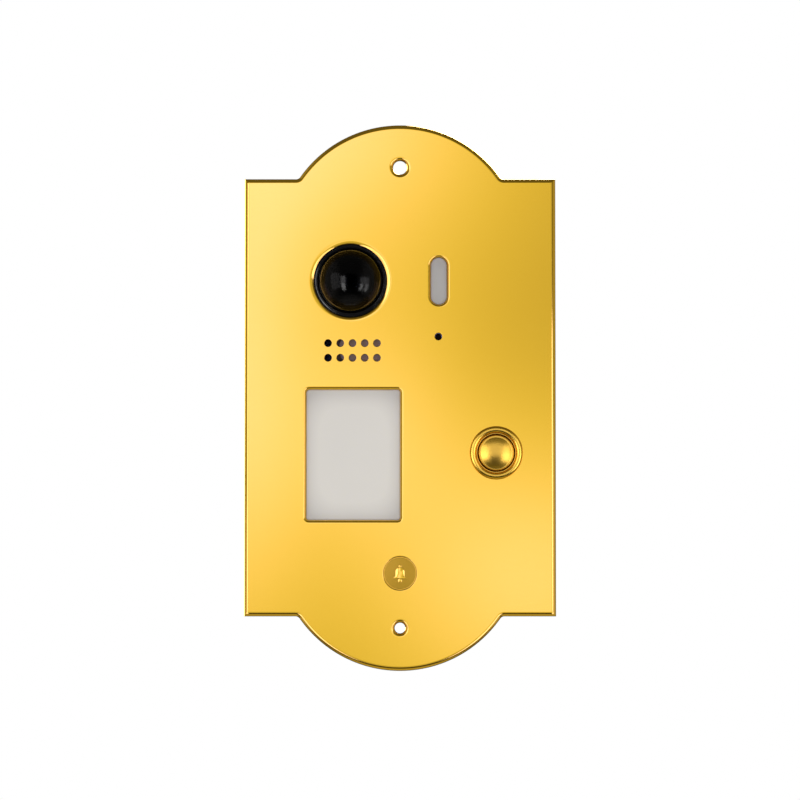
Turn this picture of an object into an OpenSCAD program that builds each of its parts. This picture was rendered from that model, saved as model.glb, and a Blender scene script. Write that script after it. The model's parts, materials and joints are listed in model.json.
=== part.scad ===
// Door intercom panel: a brass faceplate with a camera, a name window, a speaker and a button,
// and the electronics behind it in a rear housing.
// X runs right, Z up, and Y from the street into the wall; Y = 0 is the wall's surface.

/* [Faceplate] */
// Width of the plate
plate_w = 127.4; // [106:0.2:160]
// Height of the straight-sided body, from shoulder to shoulder
body_h = 179; // [149:1:230]
// Radius of the arch at the top and at the bottom
arch_r = 50; // [41:0.5:60]
// Depth of each arch's centre inside the shoulder line
arch_drop = 27.8; // [20:0.2:34]
// Radius of the hollow where an arch meets a shoulder
fillet_r = 2; // [0.5:0.1:4]
// Thickness of the plate
plate_t = 3; // [2.5:0.1:4]
// Radius of the rounded front edge
edge_r = 1.8; // [0.5:0.1:2]
// Diameter of the upper wall-screw hole
top_hole_d = 5.7; // [4:0.1:7]
// Diameter of the lower wall-screw hole
low_hole_d = 4.4; // [4:0.1:7]
// Distance of a wall-screw hole from the end of its arch
hole_inset = 17.45; // [14:0.05:22]
// Rounding of the front edge of a wall-screw hole
hole_edge_r = 1.4; // [0.4:0.1:2]

/* [Wall gasket] */
// Thickness of the gasket when the panel is fixed
gasket_t = 1.5; // [1:0.1:3]
// How far the gasket stays inside the plate's outline
gasket_inset = 1.5; // [1:0.1:3]
// Width of the gasket's band
gasket_band = 6; // [4:0.5:8]

/* [Camera] */
// Radius of the camera opening
camera_r = 15; // [12.5:0.1:18]
// How much smaller the dome is than the opening, in radius
dome_gap = 1.8; // [1.5:0.1:2.4]
// Wall of the dome
dome_wall = 1.2; // [0.8:0.1:1.6]

/* [Light window] */
// Width of the slot
slot_w = 6.85; // [5.5:0.05:8.5]
// Height of the slot
slot_h = 19.5; // [16:0.5:24]

/* [Speaker and microphone] */
// Diameter of each sound hole
sound_d = 3; // [2:0.1:3.6]
// Columns of sound holes
sound_cols = 5; // [3:1:5]
// Spacing of the columns
sound_dx = 5; // [4.4:0.1:6]
// Spacing of the two rows
sound_dz = 6; // [5:0.1:7]
// Width of the speaker
speaker_w = 34; // [30:0.5:36]
// Height of the speaker
speaker_h = 20; // [16:0.5:21]
// Diameter of the microphone capsule
mic_d = 9.7; // [6:0.1:10]

/* [Name window] */
// Width of the opening
window_w = 38.5; // [30:0.5:46]
// Height of the opening
window_h = 53.4; // [42:0.5:56]
// Corner radius of the opening
window_corner = 1.2; // [0.8:0.1:3]

/* [Button] */
// Outer radius of the collar
collar_r = 10.9; // [10:0.1:12]
// Radius of the threaded barrel
barrel_r = 9; // [8.6:0.1:9.6]
// Radius of the cap
cap_r = 7.15; // [6:0.05:7.2]
// Travel of the cap
press = 2; // [1:0.1:2]

/* [Rear housing] */
// Depth behind the wall's surface
housing_d = 34; // [31:0.5:45]
// Wall of the housing
housing_wall = 2; // [1.6:0.1:2.6]
// Thickness of the main board
board_t = 1.6; // [1:0.1:2]

/* [Hidden] */
$fn = 96;

eps = 0.01;
fit = 0.2;                      // loose clearance all round between pieces that drop in
running = 0.05;                 // radial clearance of a pin or a stem in its bore
cut = 5;                        // how far a cutting tool runs past a face

// Depths along Y
plate_back = -gasket_t;
plate_front = plate_back - plate_t;

// Faceplate
arch_z = body_h / 2 - arch_drop;
screw_z = arch_z + arch_r - hole_inset;
sound_edge_r = 0.3;
badge_r = 6.65;
badge_depth = 0.8;
stud_r = 1.5;
stud_len = 7;
nut_flat = 5.5;
nut_t = 2.4;

// Where each group stands on the plate
column_x = 5.1 - 0.19 * plate_w;
camera_x = column_x - 1.2;
camera_z = 0.533 * body_h / 2;
slot_x = column_x + 35;
slot_z = camera_z - 0.1;
slot_edge_r = 0.95;
mic_x = slot_x - 0.2;
mic_z = camera_z - 22.9;
sound_x = column_x - 0.3;
sound_z = camera_z - 28.6;
window_x = column_x;
window_z = camera_z - 71.3;
window_edge_r = 1.4;
button_x = plate_w / 2 - 24.4;
button_z = camera_z - 70.5;
window_low = window_z - window_h / 2 - window_edge_r;
hole_top = -screw_z + low_hole_d / 2 + hole_edge_r;
badge_share = 0.52;             // how far the badge stands from the window down to the hole
badge_z = window_low + badge_share * (hole_top - window_low);

// Wall gasket and rear housing
gap = 0.7;                      // between the housing and the gasket round it
hole_rim = 1.2;                 // clearance of the gasket round a wall screw
housing_w = plate_w - 2 * (gasket_inset + gasket_band + gap);
housing_h = body_h - 2 * (gasket_inset + gasket_band + gap);
housing_corner = 4;
inner_w = housing_w - 2 * housing_wall;
inner_h = housing_h - 2 * housing_wall;
inner_y = housing_d - housing_wall;

// Camera
dome_r = camera_r - dome_gap;
ring_r = camera_r - fit;
ring_bore = dome_r + fit;
ring_front = plate_front + 0.4;
ring_flange_r = camera_r + 2.4;
ring_back = plate_back + 3;
dome_flange_r = camera_r + 0.6;
dome_flange_t = 1;
seal_t = 1;
seal_y = ring_back - seal_t;
seal_in = camera_r - 2;
dome_flange_y = seal_y - dome_flange_t;
dome_y = plate_front + 2;       // centre of the dome's sphere
dome_in = dome_r - dome_wall;
cradle_lip = 1.5;
cradle_in = camera_r - 1;
cradle_back = ring_back + 10.5;
pivot_y = ring_back + 4.5;
pin_r = 1.2;
camera_swing = 10;              // pan and tilt each way, in degrees
gimbal_t = 5;
gimbal_r = (seal_in - 0.25 - gimbal_t / 2 * sin(camera_swing)) / cos(camera_swing);
body_r = 0.6 * camera_r;
gimbal_in = body_r + 1.2;
camera_front = plate_front + 2.5;
camera_back = pivot_y + 5;
barrel_front = camera_front - 6;
lens_r = 0.4 * camera_r;
sensor_w = 1.9 * body_r;
sensor_t = 1.2;
chip_w = 1.2 * (lens_r - 1);
ear_r = 4;
camera_ear = ring_flange_r + 3.3;
camera_ear_angles = [0, 120, 240];
ribbon_w = 8;
ribbon_t = 0.3;
ribbon_socket_drop = 19;        // from the camera's axis down to the socket on the main board

// Boards and spacers
board_y = housing_d - 13.5;
board_back = board_y + board_t;
board_gap = 0.8;
spacer_flat = 5;
spacer_x = inner_w / 2 - 4.2;
spacer_z = inner_h / 2 - 4.2;
spacer_hole_r = 1.6;

// Light window and its holder
pane_recess = 1.6;              // how far a pane sits behind the plate's face
slot_rim = 2.05;
light_w = slot_w + 2 * slot_rim + 2 * 1.2;
light_h = slot_h + 2 * slot_rim + 2 * 1.2;
light_depth = 5;
light_pane_t = 1.5;
light_board_t = 1;
light_ear_x = light_w / 2 + 4;
light_ear_z = 8;
lamp_w = 3;
lamp_t = 0.8;

// Microphone
boot_r = mic_d / 2 + 1.4;
boot_wall = 1.5;
mic_t = 4.5;
boot_len = boot_wall + mic_t + 1.5;

// Speaker, a flat box with round ends standing a little right of the grille
speaker_x = sound_x + 9.4;
speaker_z = sound_z + 0.9;
seal_ring = 1.9;
speaker_seal_t = 1.4;
cloth_t = 0.4;
speaker_y = plate_back + speaker_seal_t;
speaker_depth = 6;
speaker_ear_x = 16.3;
speaker_ear_drop = 9.3;
magnet_r = 6.5;
magnet_t = 4;

// Name window
pane_rim = 1.2;
pane_t = 1.2;
card_t = 0.4;
frame_wall_z = 2;
frame_wall_x = 5.9;
guide_t = 3;
frame_depth = 9;
frame_stud_z = 20;
frame_w = window_w + 2 * pane_rim + 2 * frame_wall_x;
frame_h = window_h + 2 * pane_rim + 2 * frame_wall_z;
frame_lip = 1;
frame_stud_x = window_w / 2 + pane_rim + frame_lip + nut_flat / 2 + 0.15;
backlight_t = 1.2;
screw_in = 2.6;                 // from the corner of the frame's inside to each board screw

// Button
collar_front = plate_front - 2;
collar_bore = cap_r + 0.6;
collar_tube = 0.3;              // lip between the flange's round and the bore
cap_front = collar_front + 0.2;
cap_dome_r = 13.4;
cap_rim = 0.8;
cap_t = 3;
web_y = plate_back + 3.5;
web_t = 2;
stem_r = 2.5;
stem_end = web_y + web_t + 2.5;
clip_t = 0.8;
clip_r = 4.5;
barrel_back = plate_back + 9.5;
washer_t = 0.8;
button_nut_t = 3.2;
button_nut_flat = 2 * barrel_r + 5;
cup_y = plate_back + washer_t + button_nut_t + 0.3;
cup_r = barrel_r + 1.6;
switch_y = stem_end + press + 0.5;
switch_w = 12.8;
switch_h = 6.5;
switch_d = 6;
cup_wall = 1.2;
tab_len = 2.6;
tab_pitch = 4.2;
tab_w = 2.4;

// Rear side of the main board
terminal_ways = 6;
terminal_pitch = 5.08;
terminal_w = terminal_ways * terminal_pitch + 1;
terminal_h = 12;
terminal_z = -inner_h / 2 + 22;
terminal_back = housing_d + 0.6;
wire_room = 12;                 // open space below the terminal block for the wires
trimmer_x = inner_w / 2 - 18;
trimmer_z = inner_h / 2 - 22;
trimmer_w = 7;
trimmer_t = 3;
rotor_r = 2.6;
rotor_pin_r = 1.5;
rotor_back = housing_d - 1;
housing_screw_r = 1.5;
housing_head_r = 2.75;
housing_head_t = 1.6;

// Leads
lead_r = 0.6;
lead_gap = 1.6;
lead_rings = 14;
socket_w = 6;
socket_h = 4;
socket_t = 5;
// How each lead leaves its terminal, and how it comes into its socket, as [x, y, z] handles
speaker_bend = [[0, 5, 0], [0, -5, 0]];
mic_bend = [[0, 6, 0], [0, -6, 0]];
switch_bend = [[0, 0, 5], [0, 0, -5]];
light_bend = [[0, 6, 0], [0, -6, 0]];
backlight_bend = [[0, 4, 0], [0, -4, 0]];

// ---- shared shapes ----

// A flat shape in X and Z, made solid from depth y0 to depth y1
module slab(y0, y1) {
    translate([0, y1, 0]) rotate([90, 0, 0]) linear_extrude(y1 - y0) children();
}

// A flat shape in radius and depth, turned about the Y axis
module turned() {
    rotate([-90, 0, 0]) rotate_extrude() children();
}

module at(x, z) translate([x, 0, z]) children();

module rod(y0, y1, r) {
    translate([0, y1, 0]) rotate([90, 0, 0]) cylinder(h = y1 - y0, r = r);
}

module tube(y0, y1, outer, inner) {
    difference() {
        rod(y0, y1, outer);
        rod(y0 - cut, y1 + cut, inner);
    }
}

module hex_rod(y0, y1, flat) {
    translate([0, y1, 0]) rotate([90, 0, 0]) rotate(30)
        cylinder(h = y1 - y0, r = flat / 2 / cos(30), $fn = 6);
}

// A block centred in X and Z
module block(y0, y1, w, h) {
    translate([-w / 2, y0, -h / 2]) cube([w, y1 - y0, h]);
}

module round_rect(w, h, r) {
    square([w - 2 * r, h], center = true);
    square([w, h - 2 * r], center = true);
    for (sx = [-1, 1], sz = [-1, 1]) {
        translate([sx * (w / 2 - r), sz * (h / 2 - r)]) circle(r);
    }
}

// A slot shape with half-round ends, long in X
module stadium(w, h) {
    square([w - h, h], center = true);
    for (s = [-1, 1]) translate([s * (w - h) / 2, 0]) circle(h / 2);
}

// The corner of material that a round of radius r takes away, at x from the origin
module round_cut(x, r) {
    difference() {
        translate([x - eps, plate_front - cut]) square([r + eps, r + cut]);
        translate([x + r, plate_front + r]) circle(r);
    }
}

// A round hole through the plate with its front edge rounded
module plate_hole(r, edge) {
    rod(plate_front - cut, plate_back + cut, r);
    turned() round_cut(r, edge);
}

// One straight side of an opening's rounded edge, length along Z, material on the +X side
module side_round(x, len, edge) {
    translate([0, 0, -len / 2]) linear_extrude(len) round_cut(x, edge);
}

// A quarter or half turn of rounded edge, from angle a over angle span in the X-Z plane
module turn_round(r, edge, a, span) {
    rotate([-90, 0, 0]) rotate([0, 0, -a - span]) rotate_extrude(angle = span) round_cut(r, edge);
}

function bezier(p, t) = pow(1 - t, 3) * p[0] + 3 * t * pow(1 - t, 2) * p[1]
    + 3 * t * t * (1 - t) * p[2] + pow(t, 3) * p[3];
function bezier_dir(p, t) = 3 * pow(1 - t, 2) * (p[1] - p[0])
    + 6 * t * (1 - t) * (p[2] - p[1]) + 3 * t * t * (p[3] - p[2]);
function unit(v) = v / norm(v);

// One insulated wire along a curve of four points, eight-sided; it never runs along side
module wire(p, r, side = [1, 0, 0]) {
    sides = 8;
    rings = [for (i = [0:lead_rings]) let (
        t = i / lead_rings,
        d = unit(bezier_dir(p, t)),
        u = unit(cross(d, side)),
        v = cross(u, d))
        [for (k = [0:sides - 1]) bezier(p, t) + r * (cos(360 * k / sides) * v
            + sin(360 * k / sides) * u)]];
    pts = [for (ring = rings) each ring];
    last = lead_rings * sides;
    faces = [
        [for (k = [0:sides - 1]) sides - 1 - k],
        for (i = [0:lead_rings - 1], k = [0:sides - 1])
            [i * sides + k, i * sides + (k + 1) % sides,
             (i + 1) * sides + (k + 1) % sides, (i + 1) * sides + k],
        [for (k = [0:sides - 1]) last + k]];
    polyhedron(points = pts, faces = faces);
}

// Two wires side by side from start to end, both bending by the two handles
module lead_pair(start, end, bend, side = [1, 0, 0]) {
    for (s = [-1, 1]) {
        shift = s * lead_gap / 2 * side;
        wire([start + shift, start + bend[0] + shift, end + bend[1] + shift, end + shift],
             lead_r, side);
    }
}

// ---- places of repeated fasteners ----

function around(x, z, r, a) = [x + r * cos(a), z + r * sin(a)];
camera_studs = [for (a = camera_ear_angles) around(camera_x, camera_z, camera_ear, a)];
light_studs = [for (s = [-1, 1]) [slot_x + light_ear_x, slot_z + s * light_ear_z]];
speaker_studs = [for (s = [-1, 1])
    [speaker_x + s * speaker_ear_x, speaker_z - speaker_ear_drop]];
frame_studs = [for (sx = [-1, 1], sz = [-1, 1])
    [window_x + sx * frame_stud_x, window_z + sz * frame_stud_z]];
corner_studs = [for (sx = [-1, 1], sz = [-1, 1]) [sx * spacer_x, sz * spacer_z]];

// Height of the ear that each stud's nut presses on
camera_ear_y = ring_back + cradle_lip;
light_ear_y = plate_back + 3;
speaker_ear_y = speaker_y + 2;
frame_ear_y = plate_back + 3;

// ---- faceplate ----

// Section of the plate across a width, with both front corners rounded
module plate_section(w) {
    translate([-w / 2 + edge_r, plate_front]) square([w - 2 * edge_r, plate_t]);
    translate([-w / 2, plate_front + edge_r]) square([w, plate_t - edge_r]);
    intersection() {
        for (s = [-1, 1]) translate([s * (w / 2 - edge_r), plate_front + edge_r]) circle(edge_r);
        translate([-w / 2, plate_front]) square([w, edge_r]);
    }
}

// The material that fills the hollow between an arch and its right-hand shoulder. It
// bites a little into both, so that their surfaces cross instead of only touching.
module arch_fillet() {
    bite = 0.03;
    fillet_z = fillet_r - bite;
    centre_x = sqrt(pow(arch_r + fillet_z, 2) - pow(arch_drop + fillet_z, 2));
    span = 90 - atan2(arch_drop + fillet_z, centre_x);
    translate([centre_x, 0, body_h / 2 + fillet_z]) rotate([-90, 0, 0]) rotate([0, 0, 90])
        rotate_extrude(angle = span) difference() {
            translate([fillet_r, plate_front]) square([edge_r + 2, plate_t]);
            round_cut(fillet_r, edge_r);
        }
}

module plate_blank() {
    for (sx = [0, 1], sz = [0, 1]) mirror([sx, 0, 0]) mirror([0, 0, sz]) arch_fillet();
    intersection() {
        translate([0, 0, -body_h / 2]) linear_extrude(body_h) plate_section(plate_w);
        rotate([0, 90, 0]) translate([0, 0, -plate_w / 2])
            linear_extrude(plate_w) plate_section(body_h);
    }
    for (s = [-1, 1]) at(0, s * arch_z) turned() {
        translate([0, plate_front]) square([arch_r - edge_r, plate_t]);
        translate([0, plate_front + edge_r]) square([arch_r, plate_t - edge_r]);
        intersection() {
            translate([arch_r - edge_r, plate_front + edge_r]) circle(edge_r);
            translate([arch_r - edge_r, plate_front]) square([edge_r, edge_r]);
        }
    }
}

module slot_cut() {
    run = slot_h - slot_w;
    slab(plate_front - cut, plate_back + cut) rotate(90) stadium(slot_h, slot_w);
    for (a = [0, 180]) rotate([0, a, 0]) side_round(slot_w / 2, run, slot_edge_r);
    at(0, run / 2) turn_round(slot_w / 2, slot_edge_r, 0, 180);
    at(0, -run / 2) turn_round(slot_w / 2, slot_edge_r, 180, 180);
}

module window_cut() {
    flat_x = window_w - 2 * window_corner;
    flat_z = window_h - 2 * window_corner;
    slab(plate_front - cut, plate_back + cut) round_rect(window_w, window_h, window_corner);
    for (a = [0, 180]) rotate([0, a, 0]) side_round(window_w / 2, flat_z, window_edge_r);
    for (a = [90, 270]) rotate([0, a, 0]) side_round(window_h / 2, flat_x, window_edge_r);
    for (k = [0:3]) {
        sx = (k == 0 || k == 3) ? 1 : -1;
        sz = k < 2 ? 1 : -1;
        at(sx * flat_x / 2, sz * flat_z / 2) turn_round(window_corner, window_edge_r, 90 * k, 90);
    }
}

module faceplate() {
    color("gold") difference() {
        plate_blank();
        at(0, screw_z) plate_hole(top_hole_d / 2, hole_edge_r);
        at(0, -screw_z) plate_hole(low_hole_d / 2, hole_edge_r);
        at(camera_x, camera_z) plate_hole(camera_r, edge_r);
        at(slot_x, slot_z) slot_cut();
        at(mic_x, mic_z) plate_hole(sound_d / 2, sound_edge_r);
        for (i = [0:sound_cols - 1], s = [-1, 1]) {
            at(sound_x + (i - (sound_cols - 1) / 2) * sound_dx, sound_z + s * sound_dz / 2)
                plate_hole(sound_d / 2, sound_edge_r);
        }
        at(window_x, window_z) window_cut();
        at(button_x, button_z) rod(plate_front - cut, plate_back + cut, barrel_r + fit);
        at(0, badge_z) rod(plate_front - cut, plate_front + badge_depth, badge_r);
    }
}

module plate_studs() {
    color("goldenrod") for (p = concat(camera_studs, light_studs, speaker_studs, frame_studs)) {
        at(p[0], p[1]) rod(plate_back, plate_back + stud_len, stud_r);
    }
    color("goldenrod") for (p = corner_studs) {
        at(p[0], p[1]) rod(plate_back, plate_back + stud_len, stud_r);
    }
}

module nut_at(p, y) {
    at(p[0], p[1]) difference() {
        hex_rod(y, y + nut_t, nut_flat);
        rod(y - cut, y + nut_t + cut, stud_r);
    }
}

module stud_nuts() {
    color("silver") {
        for (p = camera_studs) nut_at(p, camera_ear_y - 1);
        for (p = light_studs) nut_at(p, light_ear_y);
        for (p = speaker_studs) nut_at(p, speaker_ear_y);
        for (p = frame_studs) nut_at(p, frame_ear_y);
    }
}

// A round badge with a small raised bell
module badge() {
    top = plate_front + 0.1;
    relief = 0.25;
    bell_r = 1.9;
    flare = 0.8;
    color("darkgoldenrod") at(0, badge_z) {
        rod(top, plate_front + badge_depth, badge_r);
        slab(top - relief, top) difference() {
            union() {
                translate([0, 0.6]) circle(bell_r);
                translate([-bell_r, -1.6]) square([2 * bell_r, 2.2]);
                translate([-bell_r - flare, -2.3]) square([2 * (bell_r + flare), 0.9]);
                translate([0, 2.9]) circle(0.6);
            }
            translate([0, -2.3]) circle(0.9);
        }
        slab(top - relief, top) translate([0, -2.9]) circle(0.85);
    }
}

module wall_gasket() {
    flat_w = plate_w - 2 * gasket_inset;
    flat_h = body_h - 2 * gasket_inset;
    color("dimgray") slab(plate_back, 0) difference() {
        union() {
            square([flat_w, flat_h], center = true);
            for (s = [-1, 1]) translate([0, s * arch_z]) circle(arch_r - gasket_inset);
        }
        round_rect(housing_w + 2 * gap, housing_h + 2 * gap, housing_corner + gap);
        translate([0, screw_z]) circle(top_hole_d / 2 + hole_rim);
        translate([0, -screw_z]) circle(low_hole_d / 2 + hole_rim);
    }
}

// ---- camera ----

module dome_ring() {
    groove = 0.3;
    color("black") at(camera_x, camera_z) turned() difference() {
        union() {
            translate([ring_bore, ring_front]) square([ring_r - ring_bore, ring_back - ring_front]);
            translate([ring_bore, plate_back])
                square([ring_flange_r - ring_bore, ring_back - plate_back]);
        }
        translate([ring_bore - eps, dome_flange_y])
            square([dome_flange_r + fit / 2 - ring_bore + eps, ring_back - dome_flange_y + cut]);
        translate([(ring_r + ring_bore) / 2, ring_front]) circle(groove);
    }
}

module camera_dome() {
    color("black", 0.6) at(camera_x, camera_z) turned() difference() {
        union() {
            intersection() {
                translate([0, dome_y]) circle(dome_r);
                translate([0, dome_y - dome_r]) square([dome_r, dome_r]);
            }
            translate([0, dome_y]) square([dome_r, dome_flange_y - dome_y + dome_flange_t]);
            translate([0, dome_flange_y]) square([dome_flange_r, dome_flange_t]);
        }
        intersection() {
            translate([0, dome_y]) circle(dome_in);
            translate([-eps, dome_y - dome_in - eps]) square([dome_in + 2 * eps, dome_in + eps]);
        }
        translate([-eps, dome_y - eps]) square([dome_in + eps, ring_back - dome_y + cut]);
    }
}

module dome_seal() {
    color("dimgray") at(camera_x, camera_z)
        tube(seal_y, ring_back, dome_flange_r - fit / 2, seal_in);
}

module camera_cradle() {
    color([0.15, 0.15, 0.16]) at(camera_x, camera_z) difference() {
        union() {
            rod(ring_back, cradle_back, ring_flange_r);
            for (a = camera_ear_angles) {
                p = around(0, 0, camera_ear, a);
                slab(plate_back, camera_ear_y - 1) {
                    translate(p) circle(ear_r);
                    rotate(a) translate([ring_flange_r - 2, -ear_r])
                        square([camera_ear - ring_flange_r + 2, 2 * ear_r]);
                }
            }
        }
        rod(plate_back - cut, ring_back, ring_flange_r + fit);
        rod(ring_back - eps, cradle_back + cut, seal_in);
        rod(ring_back + cradle_lip, cradle_back + cut, cradle_in);
        for (a = camera_ear_angles) {
            p = around(0, 0, camera_ear, a);
            at(p[0], p[1]) rod(plate_back - cut, camera_ear_y + cut, stud_r + fit / 2);
        }
        translate([0, pivot_y, -ring_flange_r - cut])
            cylinder(h = 2 * (ring_flange_r + cut), r = pin_r + running);
    }
}

module pan_ring() {
    color([0.25, 0.25, 0.27]) at(camera_x, camera_z) difference() {
        tube(pivot_y - gimbal_t / 2, pivot_y + gimbal_t / 2, gimbal_r, gimbal_in);
        translate([-gimbal_r - cut, pivot_y, 0]) rotate([0, 90, 0])
            cylinder(h = 2 * (gimbal_r + cut), r = pin_r + running);
        for (s = [-1, 1]) translate([0, pivot_y, s * (gimbal_in + gimbal_r) / 2])
            cylinder(h = gimbal_r - gimbal_in + 2 * cut, r = pin_r, center = true);
    }
}

module pan_pins() {
    color("silver") at(camera_x, camera_z) for (s = [-1, 1]) {
        translate([0, pivot_y, s * (gimbal_in + 0.2 + ring_flange_r - 0.6) / 2])
            cylinder(h = ring_flange_r - 0.6 - gimbal_in - 0.2, r = pin_r, center = true);
    }
}

module tilt_pins() {
    color("silver") at(camera_x, camera_z) for (s = [-1, 1]) {
        translate([s * (body_r - 2 + gimbal_r - 0.4) / 2, pivot_y, 0]) rotate([0, 90, 0])
            cylinder(h = gimbal_r - 0.4 - body_r + 2, r = pin_r, center = true);
    }
}

module camera_body() {
    rim = 1;
    color([0.08, 0.08, 0.09]) at(camera_x, camera_z) difference() {
        turned() difference() {
            translate([0, camera_front]) square([body_r, camera_back - camera_front]);
            translate([body_r + 0.01, camera_front - 0.01]) rotate(45)
                square([rim, rim], center = true);
        }
        rod(camera_front - cut, camera_front + 4.5, lens_r);
        rod(camera_front - cut, camera_back + cut, lens_r - 1);
        translate([-body_r - cut, pivot_y, 0]) rotate([0, 90, 0])
            cylinder(h = cut + 2, r = pin_r);
        translate([body_r - 2, pivot_y, 0]) rotate([0, 90, 0]) cylinder(h = cut + 2, r = pin_r);
    }
}

module lens_barrel() {
    seat = 0.8;
    color([0.12, 0.12, 0.13]) at(camera_x, camera_z) turned() difference() {
        translate([lens_r - 2, barrel_front])
            square([2, camera_front + 4.5 - barrel_front]);
        translate([0, barrel_front - eps]) square([lens_r - seat, 1.5 + eps]);
    }
}

module lens_glass() {
    seat = 0.8;
    glass_r = lens_r - seat;
    sphere_r = glass_r * 1.55;
    centre_y = barrel_front + 0.2 + sqrt(sphere_r * sphere_r - glass_r * glass_r);
    color([0.2, 0.25, 0.35]) at(camera_x, camera_z) turned() {
        intersection() {
            translate([0, centre_y]) circle(sphere_r);
            translate([0, centre_y - sphere_r]) square([glass_r, sphere_r - (centre_y
                - barrel_front) + 1.5]);
        }
    }
}

module sensor_board() {
    color("darkgreen") at(camera_x, camera_z) {
        block(camera_back, camera_back + sensor_t, sensor_w, sensor_w);
        block(camera_back - 1, camera_back, chip_w, chip_w);
        at(0, -4) block(camera_back + sensor_t, camera_back + sensor_t + 2, ribbon_w + 2, 4);
    }
}

module camera_ribbon() {
    start_y = camera_back + sensor_t + 1;
    end_y = board_y - 1.2;
    path = [[start_y, -6], [start_y, -13], [end_y, -9], [end_y, 2.4 - ribbon_socket_drop]];
    steps = 12;
    side = function (s) [for (i = [0:steps]) let (d = unit(bezier_dir(path, i / steps)))
        bezier(path, i / steps) + s * ribbon_t / 2 * [-d[1], d[0]]];
    upper = side(1);
    lower = side(-1);
    outline = concat(upper, [for (i = [0:steps]) lower[steps - i]]);
    color("white") translate([camera_x - ribbon_w / 2, 0, camera_z])
        rotate([90, 0, 90]) linear_extrude(ribbon_w) polygon(outline);
}

// ---- light window ----

module light_window() {
    color([0.7, 0.7, 0.68]) at(slot_x, slot_z) {
        slab(plate_front + pane_recess, plate_back)
            rotate(90) stadium(slot_h - fit, slot_w - fit);
        slab(plate_back, plate_back + light_pane_t)
            rotate(90) stadium(slot_h + 2 * slot_rim, slot_w + 2 * slot_rim);
    }
}

module light_holder() {
    ear_y = light_ear_y;
    color("white") at(slot_x, slot_z) difference() {
        union() {
            slab(plate_back, plate_back + light_depth) rotate(90) stadium(light_h, light_w);
            slab(plate_back, ear_y) for (s = [-1, 1]) {
                translate([light_ear_x, s * light_ear_z]) circle(ear_r - 0.5);
                translate([0, s * light_ear_z - ear_r + 0.5]) square([light_ear_x, 2 * ear_r - 1]);
            }
        }
        slab(plate_back - cut, plate_back + light_pane_t)
            rotate(90) stadium(slot_h + 2 * slot_rim + fit, slot_w + 2 * slot_rim + fit);
        slab(plate_back - cut, plate_back + light_depth + cut)
            rotate(90) stadium(slot_h, slot_w);
        for (s = [-1, 1]) at(light_ear_x, s * light_ear_z)
            rod(plate_back - cut, ear_y + cut, stud_r + fit / 2);
    }
}

module light_board() {
    y = plate_back + light_depth;
    lamps = 4;
    run = slot_h - slot_w;
    color("darkgreen") at(slot_x, slot_z) {
        slab(y, y + light_board_t) rotate(90) stadium(light_h, light_w);
        for (i = [0:lamps - 1]) at(0, (i / (lamps - 1) - 0.5) * run)
            block(y - lamp_t, y, lamp_w, lamp_w);
    }
}

// ---- microphone ----

module mic_boot() {
    color("black") at(mic_x, mic_z) turned() difference() {
        translate([0, plate_back]) square([boot_r, boot_len]);
        translate([-eps, plate_back - eps]) square([sound_d / 2, boot_len + 1]);
        translate([0, plate_back + boot_wall]) square([mic_d / 2, mic_t]);
        translate([0, plate_back + boot_wall + mic_t - eps]) square([mic_d / 2 - 1, 2]);
    }
}

module mic_capsule() {
    y = plate_back + boot_wall;
    color("silver") at(mic_x, mic_z) turned() {
        translate([0, y]) square([mic_d / 2, mic_t - 0.3]);
        translate([0, y + mic_t - 0.3 - eps]) square([mic_d / 2 - 0.6, 0.3 + eps]);
    }
}

// ---- speaker ----

module speaker_seal() {
    color([0.1, 0.1, 0.1]) at(speaker_x, speaker_z) slab(plate_back, speaker_y) difference() {
        stadium(speaker_w, speaker_h);
        stadium(speaker_w - 2 * seal_ring, speaker_h - 2 * seal_ring);
    }
}

module speaker_cloth() {
    color("gray") at(speaker_x, speaker_z) slab(speaker_y - cloth_t, speaker_y)
        stadium(speaker_w - 2 * seal_ring - 0.2, speaker_h - 2 * seal_ring - 0.2);
}

module speaker_frame() {
    wall = 1;
    back = speaker_y + speaker_depth;
    color([0.2, 0.2, 0.2]) at(speaker_x, speaker_z) difference() {
        union() {
            slab(speaker_y, back) stadium(speaker_w, speaker_h);
            slab(speaker_y, speaker_ear_y) for (s = [-1, 1]) hull() {
                translate([s * speaker_ear_x, -speaker_ear_drop]) circle(ear_r - 0.6, $fn = 32);
                translate([s * (speaker_w - speaker_h) / 2, 0]) circle(ear_r - 0.6, $fn = 32);
            }
        }
        slab(speaker_y - cut, back - wall) stadium(speaker_w - 2 * wall, speaker_h - 2 * wall);
        rod(back - wall - cut, back + cut, magnet_r);
        for (s = [-1, 1]) at(s * speaker_ear_x, -speaker_ear_drop)
            rod(speaker_y - cut, speaker_ear_y + cut, stud_r + fit / 2);
    }
}

module speaker_cone() {
    w = speaker_w - 2.4;
    h = speaker_h - 2.4;
    y = speaker_y + 1;
    color([0.8, 0.8, 0.75]) at(speaker_x, speaker_z) {
        slab(y, y + 0.5) difference() {
            stadium(w, h);
            circle(magnet_r - 1.2);
        }
        tube(y, y + 3, magnet_r - 0.9, magnet_r - 1.3);
        slab(y, y + 0.5) circle(magnet_r - 1);
    }
}

module speaker_magnet() {
    back = speaker_y + speaker_depth;
    color("silver") at(speaker_x, speaker_z) {
        rod(back - 1.5, back + magnet_t, magnet_r);
    }
}

// ---- name window ----

module name_pane() {
    color([0.86, 0.85, 0.81]) at(window_x, window_z) {
        slab(plate_front + pane_recess, plate_back)
            round_rect(window_w - fit, window_h - fit, window_corner - fit / 4);
        slab(plate_back, plate_back + pane_t)
            round_rect(window_w + 2 * pane_rim - fit, window_h + 2 * pane_rim - fit, window_corner);
    }
}

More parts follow.
